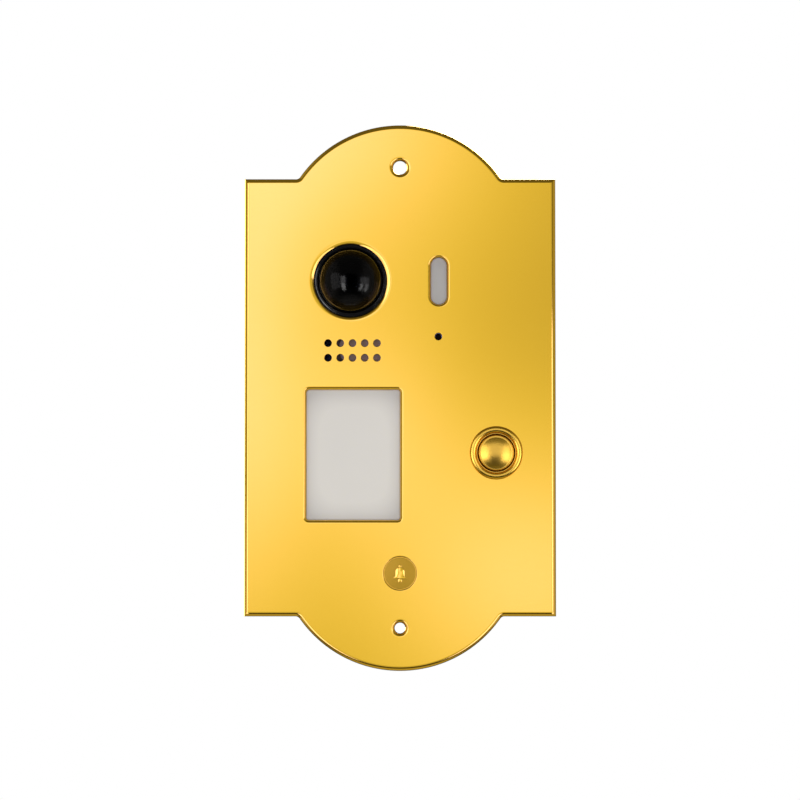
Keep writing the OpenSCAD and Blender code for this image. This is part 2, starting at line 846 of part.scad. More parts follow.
module name_card() {
    y = plate_back + pane_t;
    color("ivory") at(window_x, window_z)
        block(y, y + card_t, window_w + 2 * pane_rim - 1, window_h + 2 * pane_rim - 1);
}

module window_frame() {
    inner = plate_back + pane_t + card_t + guide_t;
    color([0.9, 0.9, 0.9]) at(window_x, window_z) difference() {
        union() {
            block(plate_back, frame_ear_y, frame_w, frame_h);
            block(frame_ear_y - eps, plate_back + frame_depth,
                window_w + 2 * pane_rim + 2 * frame_lip, frame_h);
        }
        block(plate_back - cut, inner, window_w + 2 * pane_rim, window_h + 2 * pane_rim);
        block(plate_back - cut, plate_back + frame_depth + cut,
            window_w + 2 * pane_rim - 2 * frame_lip, window_h + 2 * pane_rim - 2 * frame_lip);
        for (sx = [-1, 1], sz = [-1, 1]) at(sx * frame_stud_x, sz * frame_stud_z)
            rod(plate_back - cut, frame_ear_y + cut, stud_r + fit / 2);
    }
}

module light_guide() {
    y = plate_back + pane_t + card_t;
    color("aliceblue") at(window_x, window_z)
        block(y, y + guide_t, window_w + 2 * pane_rim - fit, window_h + 2 * pane_rim - fit);
}

function board_screw_places() = [for (sx = [-1, 1], sz = [-1, 1])
    [sx * (window_w / 2 + pane_rim - screw_in), sz * (frame_h / 2 - 1.3)]];

module backlight_board() {
    y = plate_back + frame_depth;
    color("darkgreen") at(window_x, window_z) {
        difference() {
            block(y, y + backlight_t, window_w + 2 * pane_rim, frame_h);
            for (p = board_screw_places()) at(p[0], p[1]) rod(y - cut, y + cut + 2, 0.6);
        }
        for (i = [-1, 1], k = [-1:1]) at(i * window_w / 4, k * window_h / 3)
            block(y - lamp_t, y, lamp_w, lamp_w);
    }
}

module backlight_screws() {
    y = plate_back + frame_depth + backlight_t;
    color("silver") at(window_x, window_z) for (p = board_screw_places()) at(p[0], p[1]) {
        rod(y - backlight_t, y, 0.6);
        difference() {
            rod(y, y + 0.7, 1.2);
            block(y + 0.35, y + 1, 0.4, 3);
        }
    }
}

// ---- button ----

module button_collar() {
    bead = (collar_r - collar_bore - collar_tube) / 2;
    color("gold") at(button_x, button_z) turned() {
        intersection() {
            translate([collar_r - bead, collar_front + bead]) circle(bead);
            translate([collar_r - 2 * bead, collar_front]) square([2 * bead, bead]);
        }
        translate([collar_bore, collar_front + bead])
            square([collar_r - collar_bore, plate_front - collar_front - bead]);
        translate([collar_bore, plate_front - eps])
            square([barrel_r - collar_bore, barrel_back - plate_front + eps]);
        translate([stem_r + running, web_y])
            square([barrel_r - stem_r - running - eps, web_t]);
    }
}

module button_cap() {
    dome_base = cap_r - cap_rim;
    centre_y = cap_front + sqrt(cap_dome_r * cap_dome_r - dome_base * dome_base);
    neck = stem_end - clip_t - (web_y + web_t);
    color("goldenrod") at(button_x, button_z) turned() {
        intersection() {
            translate([0, centre_y]) circle(cap_dome_r);
            translate([0, centre_y - cap_dome_r])
                square([dome_base, cap_front - centre_y + cap_dome_r + 0.5]);
        }
        translate([0, cap_front + 0.3]) square([cap_r, cap_t - 0.3]);
        translate([0, cap_front]) square([cap_r - 0.3, 1]);
        translate([0, cap_front + cap_t - eps])
            square([stem_r, web_y + web_t - cap_front - cap_t + eps]);
        translate([0, web_y + web_t - eps]) square([stem_r - 0.8, clip_t + 2 * eps]);
        translate([0, web_y + web_t + clip_t]) square([stem_r, neck]);
    }
}

// Outer shape of the return spring at rest
module button_spring() {
    color("silver") at(button_x, button_z)
        tube(cap_front + cap_t, web_y, stem_r + 1.9, stem_r + 1);
}

module button_clip() {
    y = web_y + web_t;
    gap_w = 2.4;
    color("silver") at(button_x, button_z) slab(y, y + clip_t) difference() {
        circle(clip_r);
        circle(stem_r - 0.8);
        translate([0, -clip_r]) square([gap_w, 2 * clip_r], center = true);
    }
}

module button_washer() {
    color("black") at(button_x, button_z)
        tube(plate_back, plate_back + washer_t, barrel_r + 3, barrel_r + fit / 2);
}

module button_nut() {
    y = plate_back + washer_t;
    color("gold") at(button_x, button_z) difference() {
        hex_rod(y, y + button_nut_t, button_nut_flat);
        rod(y - cut, y + button_nut_t + cut, barrel_r);
    }
}

module switch_cup() {
    back = switch_y + switch_d + cup_wall;
    color("white") at(button_x, button_z) difference() {
        rod(cup_y, back, cup_r);
        rod(cup_y - cut, barrel_back, barrel_r);
        rod(barrel_back - eps, back - cup_wall, barrel_r - 0.8);
        for (k = [-1:1]) at(k * tab_pitch, 0)
            block(back - cup_wall - cut, back + cut, 1.6, tab_w + 0.8);
    }
}

module switch_body() {
    color([0.1, 0.1, 0.1]) at(button_x, button_z) difference() {
        block(switch_y, switch_y + switch_d, switch_w, switch_h);
        rod(switch_y - cut, switch_y + press + 1.2, 1.2 + running);
    }
}

module switch_plunger() {
    color("firebrick") at(button_x, button_z) rod(stem_end, switch_y + 1, 1.2);
}

module switch_tabs() {
    y = switch_y + switch_d;
    color("silver") at(button_x, button_z) for (k = [-1:1]) at(k * tab_pitch, 0) {
        block(y, y + tab_len, 0.5, tab_w);
    }
}

// ---- main board ----

module main_board() {
    color("darkgreen") difference() {
        slab(board_y, board_back)
            round_rect(inner_w - 2 * board_gap, inner_h - 2 * board_gap, housing_corner / 2);
        for (p = corner_studs) at(p[0], p[1])
            rod(board_y - cut, board_back + cut, spacer_hole_r);
    }
}

module board_chips() {
    color([0.08, 0.08, 0.08]) {
        at(30, camera_z + 4) block(board_y - 1.4, board_y, 14, 14);
        at(36, camera_z - 24) block(board_y - 1.6, board_y, 10, 6);
        at(-34, sound_z - 14) block(board_y - 1.6, board_y, 8, 5);
        at(-10, camera_z - 6) block(board_back, board_back + 1.6, 12, 12);
        at(14, camera_z - 30) block(board_back, board_back + 1.8, 7, 5);
    }
}

module board_capacitors() {
    can_r = 4;
    can_h = 7.5;
    color("darkslateblue") for (k = [0:2]) at(-22 + k * 10, terminal_z + 22) {
        rod(board_back, board_back + can_h, can_r);
    }
}

module door_relay() {
    color("royalblue") at(24, terminal_z + 22) block(board_back, board_back + 8.5, 15, 11);
}

socket_places = [
    [speaker_x + speaker_w / 2 + 5, speaker_z - 7],
    [mic_x + 8, mic_z - 8],
    [button_x, button_z + 17],
    [slot_x + 14, slot_z - 12],
    [window_x + frame_w / 2 + 6, window_z + 14]];

module board_sockets() {
    color("ivory") {
        for (p = socket_places) at(p[0], p[1])
            block(board_y - socket_t, board_y, socket_w, socket_h);
        at(camera_x, camera_z - ribbon_socket_drop)
            block(board_y - 2.4, board_y, ribbon_w + 3, 4.8);
    }
}

module terminal_block() {
    color("green") at(0, terminal_z) difference() {
        block(board_back, terminal_back, terminal_w, terminal_h);
        for (k = [0:terminal_ways - 1]) {
            x = (k - (terminal_ways - 1) / 2) * terminal_pitch;
            at(x, 1.5) rod(terminal_back - 6, terminal_back + cut, 1.9);
            translate([x - 1.4, board_back + 2.5, -terminal_h / 2 - cut])
                cube([2.8, 3.2, cut + 7]);
        }
    }
}

module terminal_screws() {
    color("silver") at(0, terminal_z) for (k = [0:terminal_ways - 1]) {
        at((k - (terminal_ways - 1) / 2) * terminal_pitch, 1.5) difference() {
            rod(terminal_back - 6, terminal_back - 1.2, 1.8);
            block(terminal_back - 1.8, terminal_back, 0.6, 5);
        }
    }
}

module volume_trimmer() {
    color([0.15, 0.2, 0.5]) at(trimmer_x, trimmer_z) difference() {
        block(board_back, board_back + trimmer_t, trimmer_w, trimmer_w);
        rod(board_back + 1, board_back + trimmer_t + cut, rotor_pin_r + running);
    }
}

module trimmer_rotor() {
    y = board_back + trimmer_t + 0.1;
    color("white") at(trimmer_x, trimmer_z) difference() {
        union() {
            rod(board_back + 1.2, y + 0.5, rotor_pin_r);
            rod(y, rotor_back, rotor_r);
        }
        block(rotor_back - 1, rotor_back + cut, 0.8, 2 * rotor_r + 1);
    }
}

module front_spacers() {
    color("goldenrod") for (p = corner_studs) at(p[0], p[1]) difference() {
        hex_rod(plate_back, board_y, spacer_flat);
        rod(plate_back - cut, plate_back + stud_len + 0.5, stud_r);
        rod(board_y - 6, board_y + cut, stud_r - 0.1);
    }
}

module rear_spacers() {
    color("goldenrod") for (p = corner_studs) at(p[0], p[1]) difference() {
        union() {
            hex_rod(board_back, inner_y, spacer_flat);
            rod(board_y - 5, board_back + eps, stud_r - 0.1);
        }
        rod(inner_y - 7, inner_y + cut, housing_screw_r);
    }
}

// ---- rear housing ----

// Section across a width w of the housing, with both rear corners bevelled
module housing_section(w) {
    bevel = 1.5;
    polygon([[-w / 2, plate_back], [w / 2, plate_back], [w / 2, housing_d - bevel],
             [w / 2 - bevel, housing_d], [bevel - w / 2, housing_d], [-w / 2, housing_d - bevel]]);
}

module housing_blank() {
    intersection() {
        slab(plate_back, housing_d) round_rect(housing_w, housing_h, housing_corner);
        translate([0, 0, -housing_h / 2]) linear_extrude(housing_h) housing_section(housing_w);
        rotate([0, 90, 0]) translate([0, 0, -housing_w / 2])
            linear_extrude(housing_w) housing_section(housing_h);
    }
}

module rear_housing() {
    window_h_open = terminal_h + wire_room + 1.5;
    window_z_mid = terminal_z + terminal_h / 2 + 1.5 - window_h_open / 2;
    rib = 0.8;
    color([0.13, 0.13, 0.14]) difference() {
        union() {
            housing_blank();
            at(0, window_z_mid) block(housing_d - eps, housing_d + rib,
                terminal_w + 8, window_h_open + 4);
        }
        slab(plate_back - cut, inner_y)
            round_rect(inner_w, inner_h, housing_corner - housing_wall + 0.4);
        at(0, window_z_mid)
            block(inner_y - cut, housing_d + cut, terminal_w + 4, window_h_open);
        at(trimmer_x, trimmer_z) rod(inner_y - cut, housing_d + cut, rotor_r + 0.6);
        for (p = corner_studs) at(p[0], p[1]) {
            rod(inner_y - cut, housing_d + cut, housing_screw_r + 0.15);
            rod(housing_d - 0.8, housing_d + cut, housing_head_r + 0.3);
        }
        for (k = [-3:3]) at(k * 7, inner_h / 2 - 12) slab(inner_y - cut, housing_d + cut)
            rotate(90) stadium(14, 2);
    }
}

module housing_screws() {
    head_y = housing_d - 0.8;
    color("silver") for (p = corner_studs) at(p[0], p[1]) difference() {
        union() {
            rod(inner_y - 6, head_y, housing_screw_r);
            rod(head_y, head_y + housing_head_t, housing_head_r);
        }
        for (a = [0, 90]) rotate([0, a, 0])
            block(head_y + 0.5, head_y + cut, 0.8, 3.2);
    }
}

// ---- leads ----

function socket_end(k) = [socket_places[k][0], board_y - socket_t, socket_places[k][1]];

module speaker_leads() {
    start = [speaker_x + speaker_w / 2 - 5, speaker_y + speaker_depth, speaker_z - 3];
    color("crimson") lead_pair(start, socket_end(0), speaker_bend, [0, 0, 1]);
}

module mic_leads() {
    start = [mic_x, plate_back + boot_wall + mic_t, mic_z];
    color("steelblue") lead_pair(start, socket_end(1), mic_bend);
}

module switch_leads() {
    start = [button_x, switch_y + switch_d + tab_len - lead_r, button_z + tab_w / 2];
    color("orange") for (s = [-1, 1]) {
        from = start + [s * tab_pitch, 0, 0];
        to = [button_x + s * lead_gap / 2, board_y - socket_t / 2,
              socket_places[2][1] - socket_h / 2];
        wire([from, from + switch_bend[0], to + switch_bend[1], to], lead_r);
    }
}

module lamp_leads() {
    light_start = [slot_x, plate_back + light_depth + light_board_t, slot_z];
    back_start = [window_x + window_w / 2 - 4, plate_back + frame_depth + backlight_t,
                  window_z + 10];
    color("gold") lead_pair(light_start, socket_end(3), light_bend, [0, 0, 1]);
    color("gold") lead_pair(back_start, socket_end(4), backlight_bend, [0, 0, 1]);
}

faceplate();
plate_studs();
stud_nuts();
badge();
wall_gasket();
dome_ring();
camera_dome();
dome_seal();
camera_cradle();
pan_ring();
pan_pins();
tilt_pins();
camera_body();
lens_barrel();
lens_glass();
sensor_board();
camera_ribbon();
light_window();
light_holder();
light_board();
mic_boot();
mic_capsule();
speaker_cloth();
speaker_seal();
speaker_frame();
speaker_cone();
speaker_magnet();
name_pane();
name_card();
window_frame();
light_guide();
backlight_board();
backlight_screws();
button_collar();
button_cap();
button_spring();
button_clip();
button_washer();
button_nut();
switch_cup();
switch_body();
switch_plunger();
switch_tabs();
main_board();
board_chips();
board_capacitors();
door_relay();
board_sockets();
terminal_block();
terminal_screws();
volume_trimmer();
trimmer_rotor();
front_spacers();
rear_spacers();
rear_housing();
housing_screws();
speaker_leads();
mic_leads();
switch_leads();
lamp_leads();
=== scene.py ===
import json
import math
import bmesh
import bpy
import numpy as np
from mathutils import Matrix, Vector
from mathutils.geometry import delaunay_2d_cdt


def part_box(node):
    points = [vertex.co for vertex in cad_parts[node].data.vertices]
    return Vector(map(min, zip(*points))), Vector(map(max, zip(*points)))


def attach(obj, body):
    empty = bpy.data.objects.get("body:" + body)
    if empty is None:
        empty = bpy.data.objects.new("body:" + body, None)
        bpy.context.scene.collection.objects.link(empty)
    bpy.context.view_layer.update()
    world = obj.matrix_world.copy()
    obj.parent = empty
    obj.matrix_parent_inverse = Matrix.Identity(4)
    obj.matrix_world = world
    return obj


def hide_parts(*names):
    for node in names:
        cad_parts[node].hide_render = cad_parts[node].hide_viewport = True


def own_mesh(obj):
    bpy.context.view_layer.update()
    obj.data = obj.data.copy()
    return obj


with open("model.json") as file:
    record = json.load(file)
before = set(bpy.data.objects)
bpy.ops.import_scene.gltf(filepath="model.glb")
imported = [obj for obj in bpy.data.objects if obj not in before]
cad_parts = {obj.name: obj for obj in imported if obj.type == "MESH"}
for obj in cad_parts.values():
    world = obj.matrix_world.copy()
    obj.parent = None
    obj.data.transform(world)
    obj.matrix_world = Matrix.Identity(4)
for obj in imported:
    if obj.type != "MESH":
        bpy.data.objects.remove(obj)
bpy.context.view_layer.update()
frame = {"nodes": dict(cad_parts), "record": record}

mm = 0.001
seam = 0.0005                # points closer than this, in millimetres, become one
sameSpot = 1e-7              # points closer than this are one to the triangulation
usualNoise = (0.3, 0.7)      # the range in which a noise mostly stays
almostStraight = math.pi / 2 - 0.02     # half the angle of a corner that is left as it is
mostOfSide = 0.49            # share of a straight side that the arc at its end may take


def boxOf(node):
    lo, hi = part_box(node)
    return np.array(lo) / mm, np.array(hi) / mm


def middleOf(node):
    lo, hi = boxOf(node)
    return (lo + hi) / 2


class Sock:
    # one output of a node; expressions on it add Math nodes
    def __init__(self, tree, out):
        self.tree = tree
        self.out = out

    def calc(self, how, *others):
        return self.tree.maths(how, self, *others)

    def __add__(self, other):
        return self.calc("ADD", other)

    def __sub__(self, other):
        return self.calc("SUBTRACT", other)

    def __rsub__(self, other):
        return self.tree.maths("SUBTRACT", other, self)

    def __mul__(self, other):
        return self.calc("MULTIPLY", other)

    def __truediv__(self, other):
        return self.calc("DIVIDE", other)

    def __rtruediv__(self, other):
        return self.tree.maths("DIVIDE", other, self)

    def __pow__(self, other):
        return self.calc("POWER", other)

    def __neg__(self):
        return self.calc("MULTIPLY", -1.0)

    __radd__ = __add__
    __rmul__ = __mul__


class Tree:
    # the nodes of one material, light or world
    def __init__(self, owner):
        owner.use_nodes = True
        self.tree = owner.node_tree
        self.tree.nodes.clear()

    def node(self, kind, settings=None, sockets=None, out=0):
        made = self.tree.nodes.new(kind)
        for key, value in (settings or {}).items():
            if key == "stops":
                ramp = made.color_ramp
                while len(ramp.elements) < len(value):
                    ramp.elements.new(0.5)
                for element, (place, colour) in zip(ramp.elements, value):
                    element.position = place
                    element.color = (*colour, 1.0)
            else:
                setattr(made, key, value)
        for key, value in (sockets or {}).items():
            socket = made.inputs[key]
            if isinstance(value, Sock):
                self.tree.links.new(value.out, socket)
            elif socket.type == "RGBA" and len(value) == 3:
                socket.default_value = (*value, 1.0)
            else:
                socket.default_value = value
        return Sock(self, made.outputs[out]) if made.outputs else None

    def maths(self, how, *values):
        return self.node("ShaderNodeMath", {"operation": how}, dict(enumerate(values)))

    def place(self, stretch=(1, 1, 1), centre=(0, 0, 0), turn=(0, 0, 0)):
        # Object coordinates in millimetres, moved to a centre given in millimetres
        where = self.node("ShaderNodeTexCoord", out="Object")
        shift = [-c * s for c, s in zip(centre, stretch)]
        scale = [s / mm for s in stretch]
        return self.node("ShaderNodeMapping", {}, {"Vector": where, "Location": shift,
                                                   "Rotation": turn, "Scale": scale})

    def noise(self, where, size, detail=3.0, rough=0.5):
        # smooth noise from 0 to 1 with lumps of about that size in millimetres
        return self.node("ShaderNodeTexNoise", {}, {"Vector": where, "Scale": 1.0 / size,
                                                    "Detail": detail, "Roughness": rough})

    def cells(self, where, size):
        # distance from the middle of the nearest cell, cells of about that size in millimetres
        return self.node("ShaderNodeTexVoronoi", {}, {"Vector": where, "Scale": 1.0 / size})

    def split(self, where):
        parts = self.node("ShaderNodeSeparateXYZ", {}, {0: where})
        return [Sock(self, parts.out.node.outputs[k]) for k in range(3)]

    def mix(self, share, first, second):
        return self.node("ShaderNodeMix", {"data_type": "RGBA"}, {0: share, 6: first, 7: second}, out=2)

    def span(self, value, low, high, outLow, outHigh):
        return self.node("ShaderNodeMapRange", {"clamp": True},
                         {0: value, 1: low, 2: high, 3: outLow, 4: outHigh})

    def bump(self, height, depth):
        return self.node("ShaderNodeBump", {}, {"Height": height, "Distance": depth * mm})

    def roughen(self, pattern, smooth, rough):
        # a roughness that follows a noise from its smoothest to its roughest
        return self.span(pattern, *usualNoise, smooth, rough)

    def surface(self, sockets):
        shader = self.node("ShaderNodeBsdfPrincipled", {}, sockets)
        self.node("ShaderNodeOutputMaterial", {}, {"Surface": shader})


def newFinish(name):
    material = bpy.data.materials.new(name)
    return material, Tree(material)


def grained(name, colour, roughness, metallic=0.0, tint=0.06, lump=3.0, grain=0.25, depth=0.01,
            stretch=(1, 1, 1)):
    # a finish whose colour drifts in soft lumps and whose surface has a fine grain
    material, t = newFinish(name)
    where = t.place()
    drift = t.noise(where, lump, 4.0)
    fine = t.noise(t.place(stretch), grain, 2.0, 0.6)
    dark = tuple(c * (1 - tint) for c in colour)
    light = tuple(min(1.0, c * (1 + tint)) for c in colour)
    t.surface({"Base Color": t.mix(drift, dark, light),
               "Roughness": t.roughen(fine, roughness * 0.85, min(1.0, roughness * 1.15)),
               "Metallic": metallic, "Normal": t.bump(fine, depth)})
    return material


def circleLoop(x, z, r, count):
    # point i = centre + radius along the direction of angle i; the second array is those directions
    a = np.arange(count) * 2 * math.pi / count
    out = np.stack([np.cos(a), np.sin(a)], 1)
    return np.array([x, z]) + r * out, out


def roundedLoop(x, z, w, h, r, cornerSteps):
    # a rectangle with round corners: quarter circles about four centres, joined by straight runs
    a = np.linspace(0, math.pi / 2, cornerSteps + 1)
    points, outs = [], []
    for k in range(4):
        sx = 1 if k in (0, 3) else -1
        sz = 1 if k < 2 else -1
        turn = a + k * math.pi / 2
        out = np.stack([np.cos(turn), np.sin(turn)], 1)
        centre = np.array([x + sx * (w / 2 - r), z + sz * (h / 2 - r)])
        points.append(centre + r * out)
        outs.append(out)
    return np.concatenate(points), np.concatenate(outs)


def sweepLoop(loop, inward, profile):
    # vertex (i, j) = loop point i moved inward by the profile's offset j, at the profile's depth j
    n, m = len(loop), len(profile)
    offset = profile[None, :, 0:1]
    flat = loop[:, None, :] + inward[:, None, :] * offset
    depth = np.broadcast_to(profile[None, :, 1], (n, m))
    verts = np.stack([flat[..., 0], depth, flat[..., 1]], -1).reshape(-1, 3)
    i, j = np.meshgrid(np.arange(n), np.arange(m - 1), indexing="ij")
    i2 = (i + 1) % n
    faces = np.stack([i * m + j, i2 * m + j, i2 * m + j + 1, i * m + j + 1], -1).reshape(-1, 4)
    return verts, faces


def lathe(profile, centre, steps):
    # vertex (i, j) = axis point + the profile's radius j along angle i, at the profile's depth j
    loop = np.zeros((steps, 2)) + np.asarray(centre)
    a = np.arange(steps) * 2 * math.pi / steps
    return sweepLoop(loop, np.stack([np.cos(a), np.sin(a)], 1), np.asarray(profile, float))


def easedPath(points, radii, steps):
    # every corner gives way to an arc: the chord between its two touching points, pushed out
    # from the arc's centre to its radius
    points = np.asarray(points, float)
    out = [points[0]]
    for k in range(1, len(points) - 1):
        r = radii[k] if hasattr(radii, "__len__") else radii
        before, here, after = points[k - 1], points[k], points[k + 1]
        u = (before - here) / np.linalg.norm(before - here)
        v = (after - here) / np.linalg.norm(after - here)
        half = math.acos(max(-1.0, min(1.0, float(u @ v)))) / 2
        if r <= 0 or half > almostStraight:
            out.append(here)
            continue
        reach = min(r / math.tan(half), mostOfSide * np.linalg.norm(before - here),
                    mostOfSide * np.linalg.norm(after - here))
        t = np.linspace(0, 1, steps + 1)[:, None]
        start, end = here + u * reach, here + v * reach
        centre = here + (u + v) / np.linalg.norm(u + v) * reach / math.cos(half)
        chord = start * (1 - t) + end * t
        away = chord - centre
        away /= np.linalg.norm(away, axis=1)[:, None]
        out.extend(centre + away * np.linalg.norm(start - centre))
    out.append(points[-1])
    return np.array(out)


def insideLoop(points, loop):
    # even-odd rule: how many sides of the loop a ray to the right crosses
    a, b = loop, np.roll(loop, -1, axis=0)
    px, pz = points[:, 0:1], points[:, 1:2]
    crosses = (a[None, :, 1] > pz) != (b[None, :, 1] > pz)
    rise = np.where(b[:, 1] == a[:, 1], 1.0, b[:, 1] - a[:, 1])
    at = a[None, :, 0] + (pz - a[None, :, 1]) * ((b[:, 0] - a[:, 0]) / rise)[None, :]
    return ((crosses & (px < at)).sum(1) % 2) == 1


def fillBetween(outer, holes, depth):
    # a flat face at one depth, triangulated between its outer loop and its holes
    loops = [outer] + list(holes)
    points = np.concatenate(loops)
    edges, start = [], 0
    for loop in loops:
        k = np.arange(len(loop))
        edges.append(np.stack([start + k, start + (k + 1) % len(loop)], 1))
        start += len(loop)
    made = delaunay_2d_cdt([tuple(p) for p in points.tolist()], np.concatenate(edges).tolist(),
                           [], 0, sameSpot)
    flat = np.array([tuple(p) for p in made[0]])
    faces = np.array([f for f in made[2] if len(f) == 3])
    centre = flat[faces].mean(1)
    keep = insideLoop(centre, outer)
    for hole in holes:
        keep &= ~insideLoop(centre, hole)
    verts = np.stack([flat[:, 0], np.full(len(flat), depth), flat[:, 1]], 1)
    return verts, faces[keep]


def makePiece(name, parts, body, finish, replaced=(), sharp=35.0):
    # joins the parts, closes their seams, turns every face outwards and puts the piece on its body
    verts, faces, start = [], [], 0
    for v, f in parts:
        verts.append(v)
        faces += (f + start).tolist()
        start += len(v)
    mesh = bpy.data.meshes.new(name)
    mesh.from_pydata((np.concatenate(verts) * mm).tolist(), [], faces)
    work = bmesh.new()
    work.from_mesh(mesh)
    bmesh.ops.remove_doubles(work, verts=work.verts, dist=seam * mm)
    bmesh.ops.dissolve_degenerate(work, edges=work.edges, dist=seam * mm)
    bmesh.ops.recalc_face_normals(work, faces=work.faces)
    work.to_mesh(mesh)
    work.free()
    mesh.shade_smooth()
    mesh.set_sharp_from_angle(angle=math.radians(sharp))
    mesh.materials.append(finish)
    piece = bpy.data.objects.new(name, mesh)
    bpy.context.scene.collection.objects.link(piece)
    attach(piece, body)
    if replaced:
        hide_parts(*replaced)
    return piece


viewpoint = {
    "distance": 1250.0,      # from the plate to the camera
    "faceY": -4.5,           # depth of the plate's face
    "below": 2.2,            # degrees that the camera looks up
    "frameWidth": 326.9,     # width of the view at the plate
    "aimZ": -1.2,            # height of the middle of the view
    "sensor": 36.0,
    "nearest": 0.01,         # metres
}

camera = bpy.data.objects.new("viewCamera", bpy.data.cameras.new("viewCamera"))
bpy.context.scene.collection.objects.link(camera)
bpy.context.scene.camera = camera
camera.data.sensor_width = viewpoint["sensor"]
camera.data.lens = viewpoint["sensor"] * viewpoint["distance"] / viewpoint["frameWidth"]
camera.data.clip_start = viewpoint["nearest"]
tilt = math.radians(viewpoint["below"])
cameraY = viewpoint["faceY"] - viewpoint["distance"] * math.cos(tilt)
cameraZ = viewpoint["aimZ"] - viewpoint["distance"] * math.sin(tilt)
camera.location = (0, cameraY * mm, cameraZ * mm)
camera.rotation_euler = (math.pi / 2 + tilt, 0, 0)

bpy.context.scene.view_settings.view_transform = "Standard"
bpy.context.scene.view_settings.look = "None"

studio = {
    # glow of the room by direction, each with the stretch of the direction over which it sets in
    "beneath": 0.04, "above": 0.13, "rise": (-0.35, 0.3),
    "underfoot": 0.4, "underfootFade": (-0.95, -0.72),
    "sides": 0.36, "sidesRise": (0.25, 0.6),
    "airTint": (1.0, 0.95, 0.87),
    "cardDepth": 1400.0,     # how far in front of the plate the big card hangs
    "cardHalf": (620.0, 640.0),
    "cardBase": 0.553,
    # strength, then centre x and z and half widths on the plate that sees the pool of light
    "pools": [(0.43, -12.9, -8.5, 36.6, 48.0), (0.67, -69.9, -3.8, 32.0, 107.1),
              (0.767, -32.4, 119.0, 79.4, 73.4), (0.663, 53.9, -73.2, 76.6, 65.8)],
    "coolRise": (0.7, 1.35), "coolTint": (1.0, 1.0, 4.2),     # where the card is bright it is cooler
    "lampReach": 1.1,        # metres from the plate to each side lamp
    # side lamps: from and to in degrees off the front, lowest and highest z, radiance
    "plateLamps": [(-38, -13, -0.12, 0.35, 1.6), (-38, -13, -0.42, -0.12, 1.1),
                   (-38, -13, -0.85, -0.42, 1.6), (-80, -38, -0.85, -0.04, 0.25),
                   (16, 42, -0.12, 0.10, 1.7), (16, 42, -0.42, -0.12, 1.1),
                   (16, 42, -0.95, -0.42, 1.7), (42, 78, -0.95, 0.02, 0.25)],
    "buttonLamps": [(-58, -24, -0.45, 0.02, 2.5), (-58, -24, 0.02, 0.55, 1.6),
                    (24, 54, -0.60, 0.00, 2.3), (24, 54, 0.00, 0.50, 1.4),
                    (-22, 22, -0.25, 0.75, 0.80)],
    "glassLamps": [(-33, -20, -0.75, -0.20, 9.0), (-35, -18, -0.20, 0.30, 3.6),
                   (-75, -40, -0.5, 0.5, 0.8), (36, 48, -0.75, -0.20, 6.5),
                   (58, 70, -0.75, -0.20, 5.0), (36, 70, -0.20, 0.25, 1.6)],
    "roomLamps": [(-60, -20, -0.6, 0.6, 0.8), (20, 60, -0.6, 0.6, 0.8)],
    "tints": {"plate": (1.0, 0.94, 3.8), "button": (1.0, 1.0, 2.8),
              "glass": (1.0, 1.0, 1.0), "room": (1.0, 1.0, 1.0)},
    # the other lamps, aimed at the origin: place, width and height in metres, and radiance
    "softLamps": {"topLamp": ((0.05, -0.25, 1.1), 0.35, 0.35, 9.0),
                  "backLamp": ((0.5, 1.1, 0.8), 0.8, 0.8, 14.0),
                  "backFill": ((-1.0, 0.9, 0.2), 0.7, 1.0, 5.6)},
    "floorZ": -300.0, "floorRadius": 1300.0, "floorCorners": 96,
    "floorFade": (0.55, 0.98),     # shares of the radius between which the floor fades away
    "floorColour": (0.82, 0.82, 0.82), "floorRoughness": 0.7, "floorGlow": 0.45,
}

world = bpy.data.worlds.new("studioAir")
bpy.context.scene.world = world
t = Tree(world)
seen = t.node("ShaderNodeLightPath", out="Is Camera Ray")
air = t.node("ShaderNodeBackground", {}, {"Color": (1, 1, 1), "Strength": 1.0})
dirX, _, dirZ = t.split(t.node("ShaderNodeTexCoord", out="Generated"))
tall = t.span(dirZ, *studio["rise"], studio["beneath"], studio["above"])
tall = tall + t.span(dirZ, *studio["underfootFade"], studio["underfoot"], 0.0)
wide = t.span(dirX * dirX, *studio["sidesRise"], 0.0, 1.0)
dim = t.node("ShaderNodeBackground", {}, {"Color": studio["airTint"],
                                          "Strength": tall * (1 - wide) + wide * studio["sides"]})
both = t.node("ShaderNodeMixShader", {}, {0: seen, 1: dim, 2: air})
t.node("ShaderNodeOutputWorld", {}, {"Surface": both})


def stageSheet(name, corners, material, cameraSees=False):
    mesh = bpy.data.meshes.new(name)
    mesh.from_pydata([tuple(c * mm for c in p) for p in corners], [], [tuple(range(len(corners)))])
    mesh.materials.append(material)
    sheet = bpy.data.objects.new(name, mesh)
    bpy.context.scene.collection.objects.link(sheet)
    sheet.visible_camera = cameraSees
    return sheet


# the big card behind the camera: an even glow plus bell-shaped pools of light
cardPaint = bpy.data.materials.new("cardGlow")
t = Tree(cardPaint)
spread = 1 + studio["cardDepth"] / viewpoint["distance"]
cx, _, cz = t.split(t.node("ShaderNodeTexCoord", out="Object"))
glow = studio["cardBase"]
for strength, px, pz, wx, wz in studio["pools"]:
    x0 = px * spread * mm
    z0 = (cameraZ + (pz - cameraZ) * spread) * mm
    across = ((cx - x0) / (wx * spread * mm)) ** 2.0
    up = ((cz - z0) / (wz * spread * mm)) ** 2.0
    glow = (-(across + up)).calc("EXPONENT") * strength + glow
cool = t.span(glow, *studio["coolRise"], 0.0, 1.0) ** 2.0
shade = t.mix(cool, (1.0, 1.0, 1.0), studio["coolTint"])
cardShader = t.node("ShaderNodeEmission", {}, {"Color": shade, "Strength": glow})
t.node("ShaderNodeOutputMaterial", {}, {"Surface": cardShader})
halfWidth, halfHeight = studio["cardHalf"]
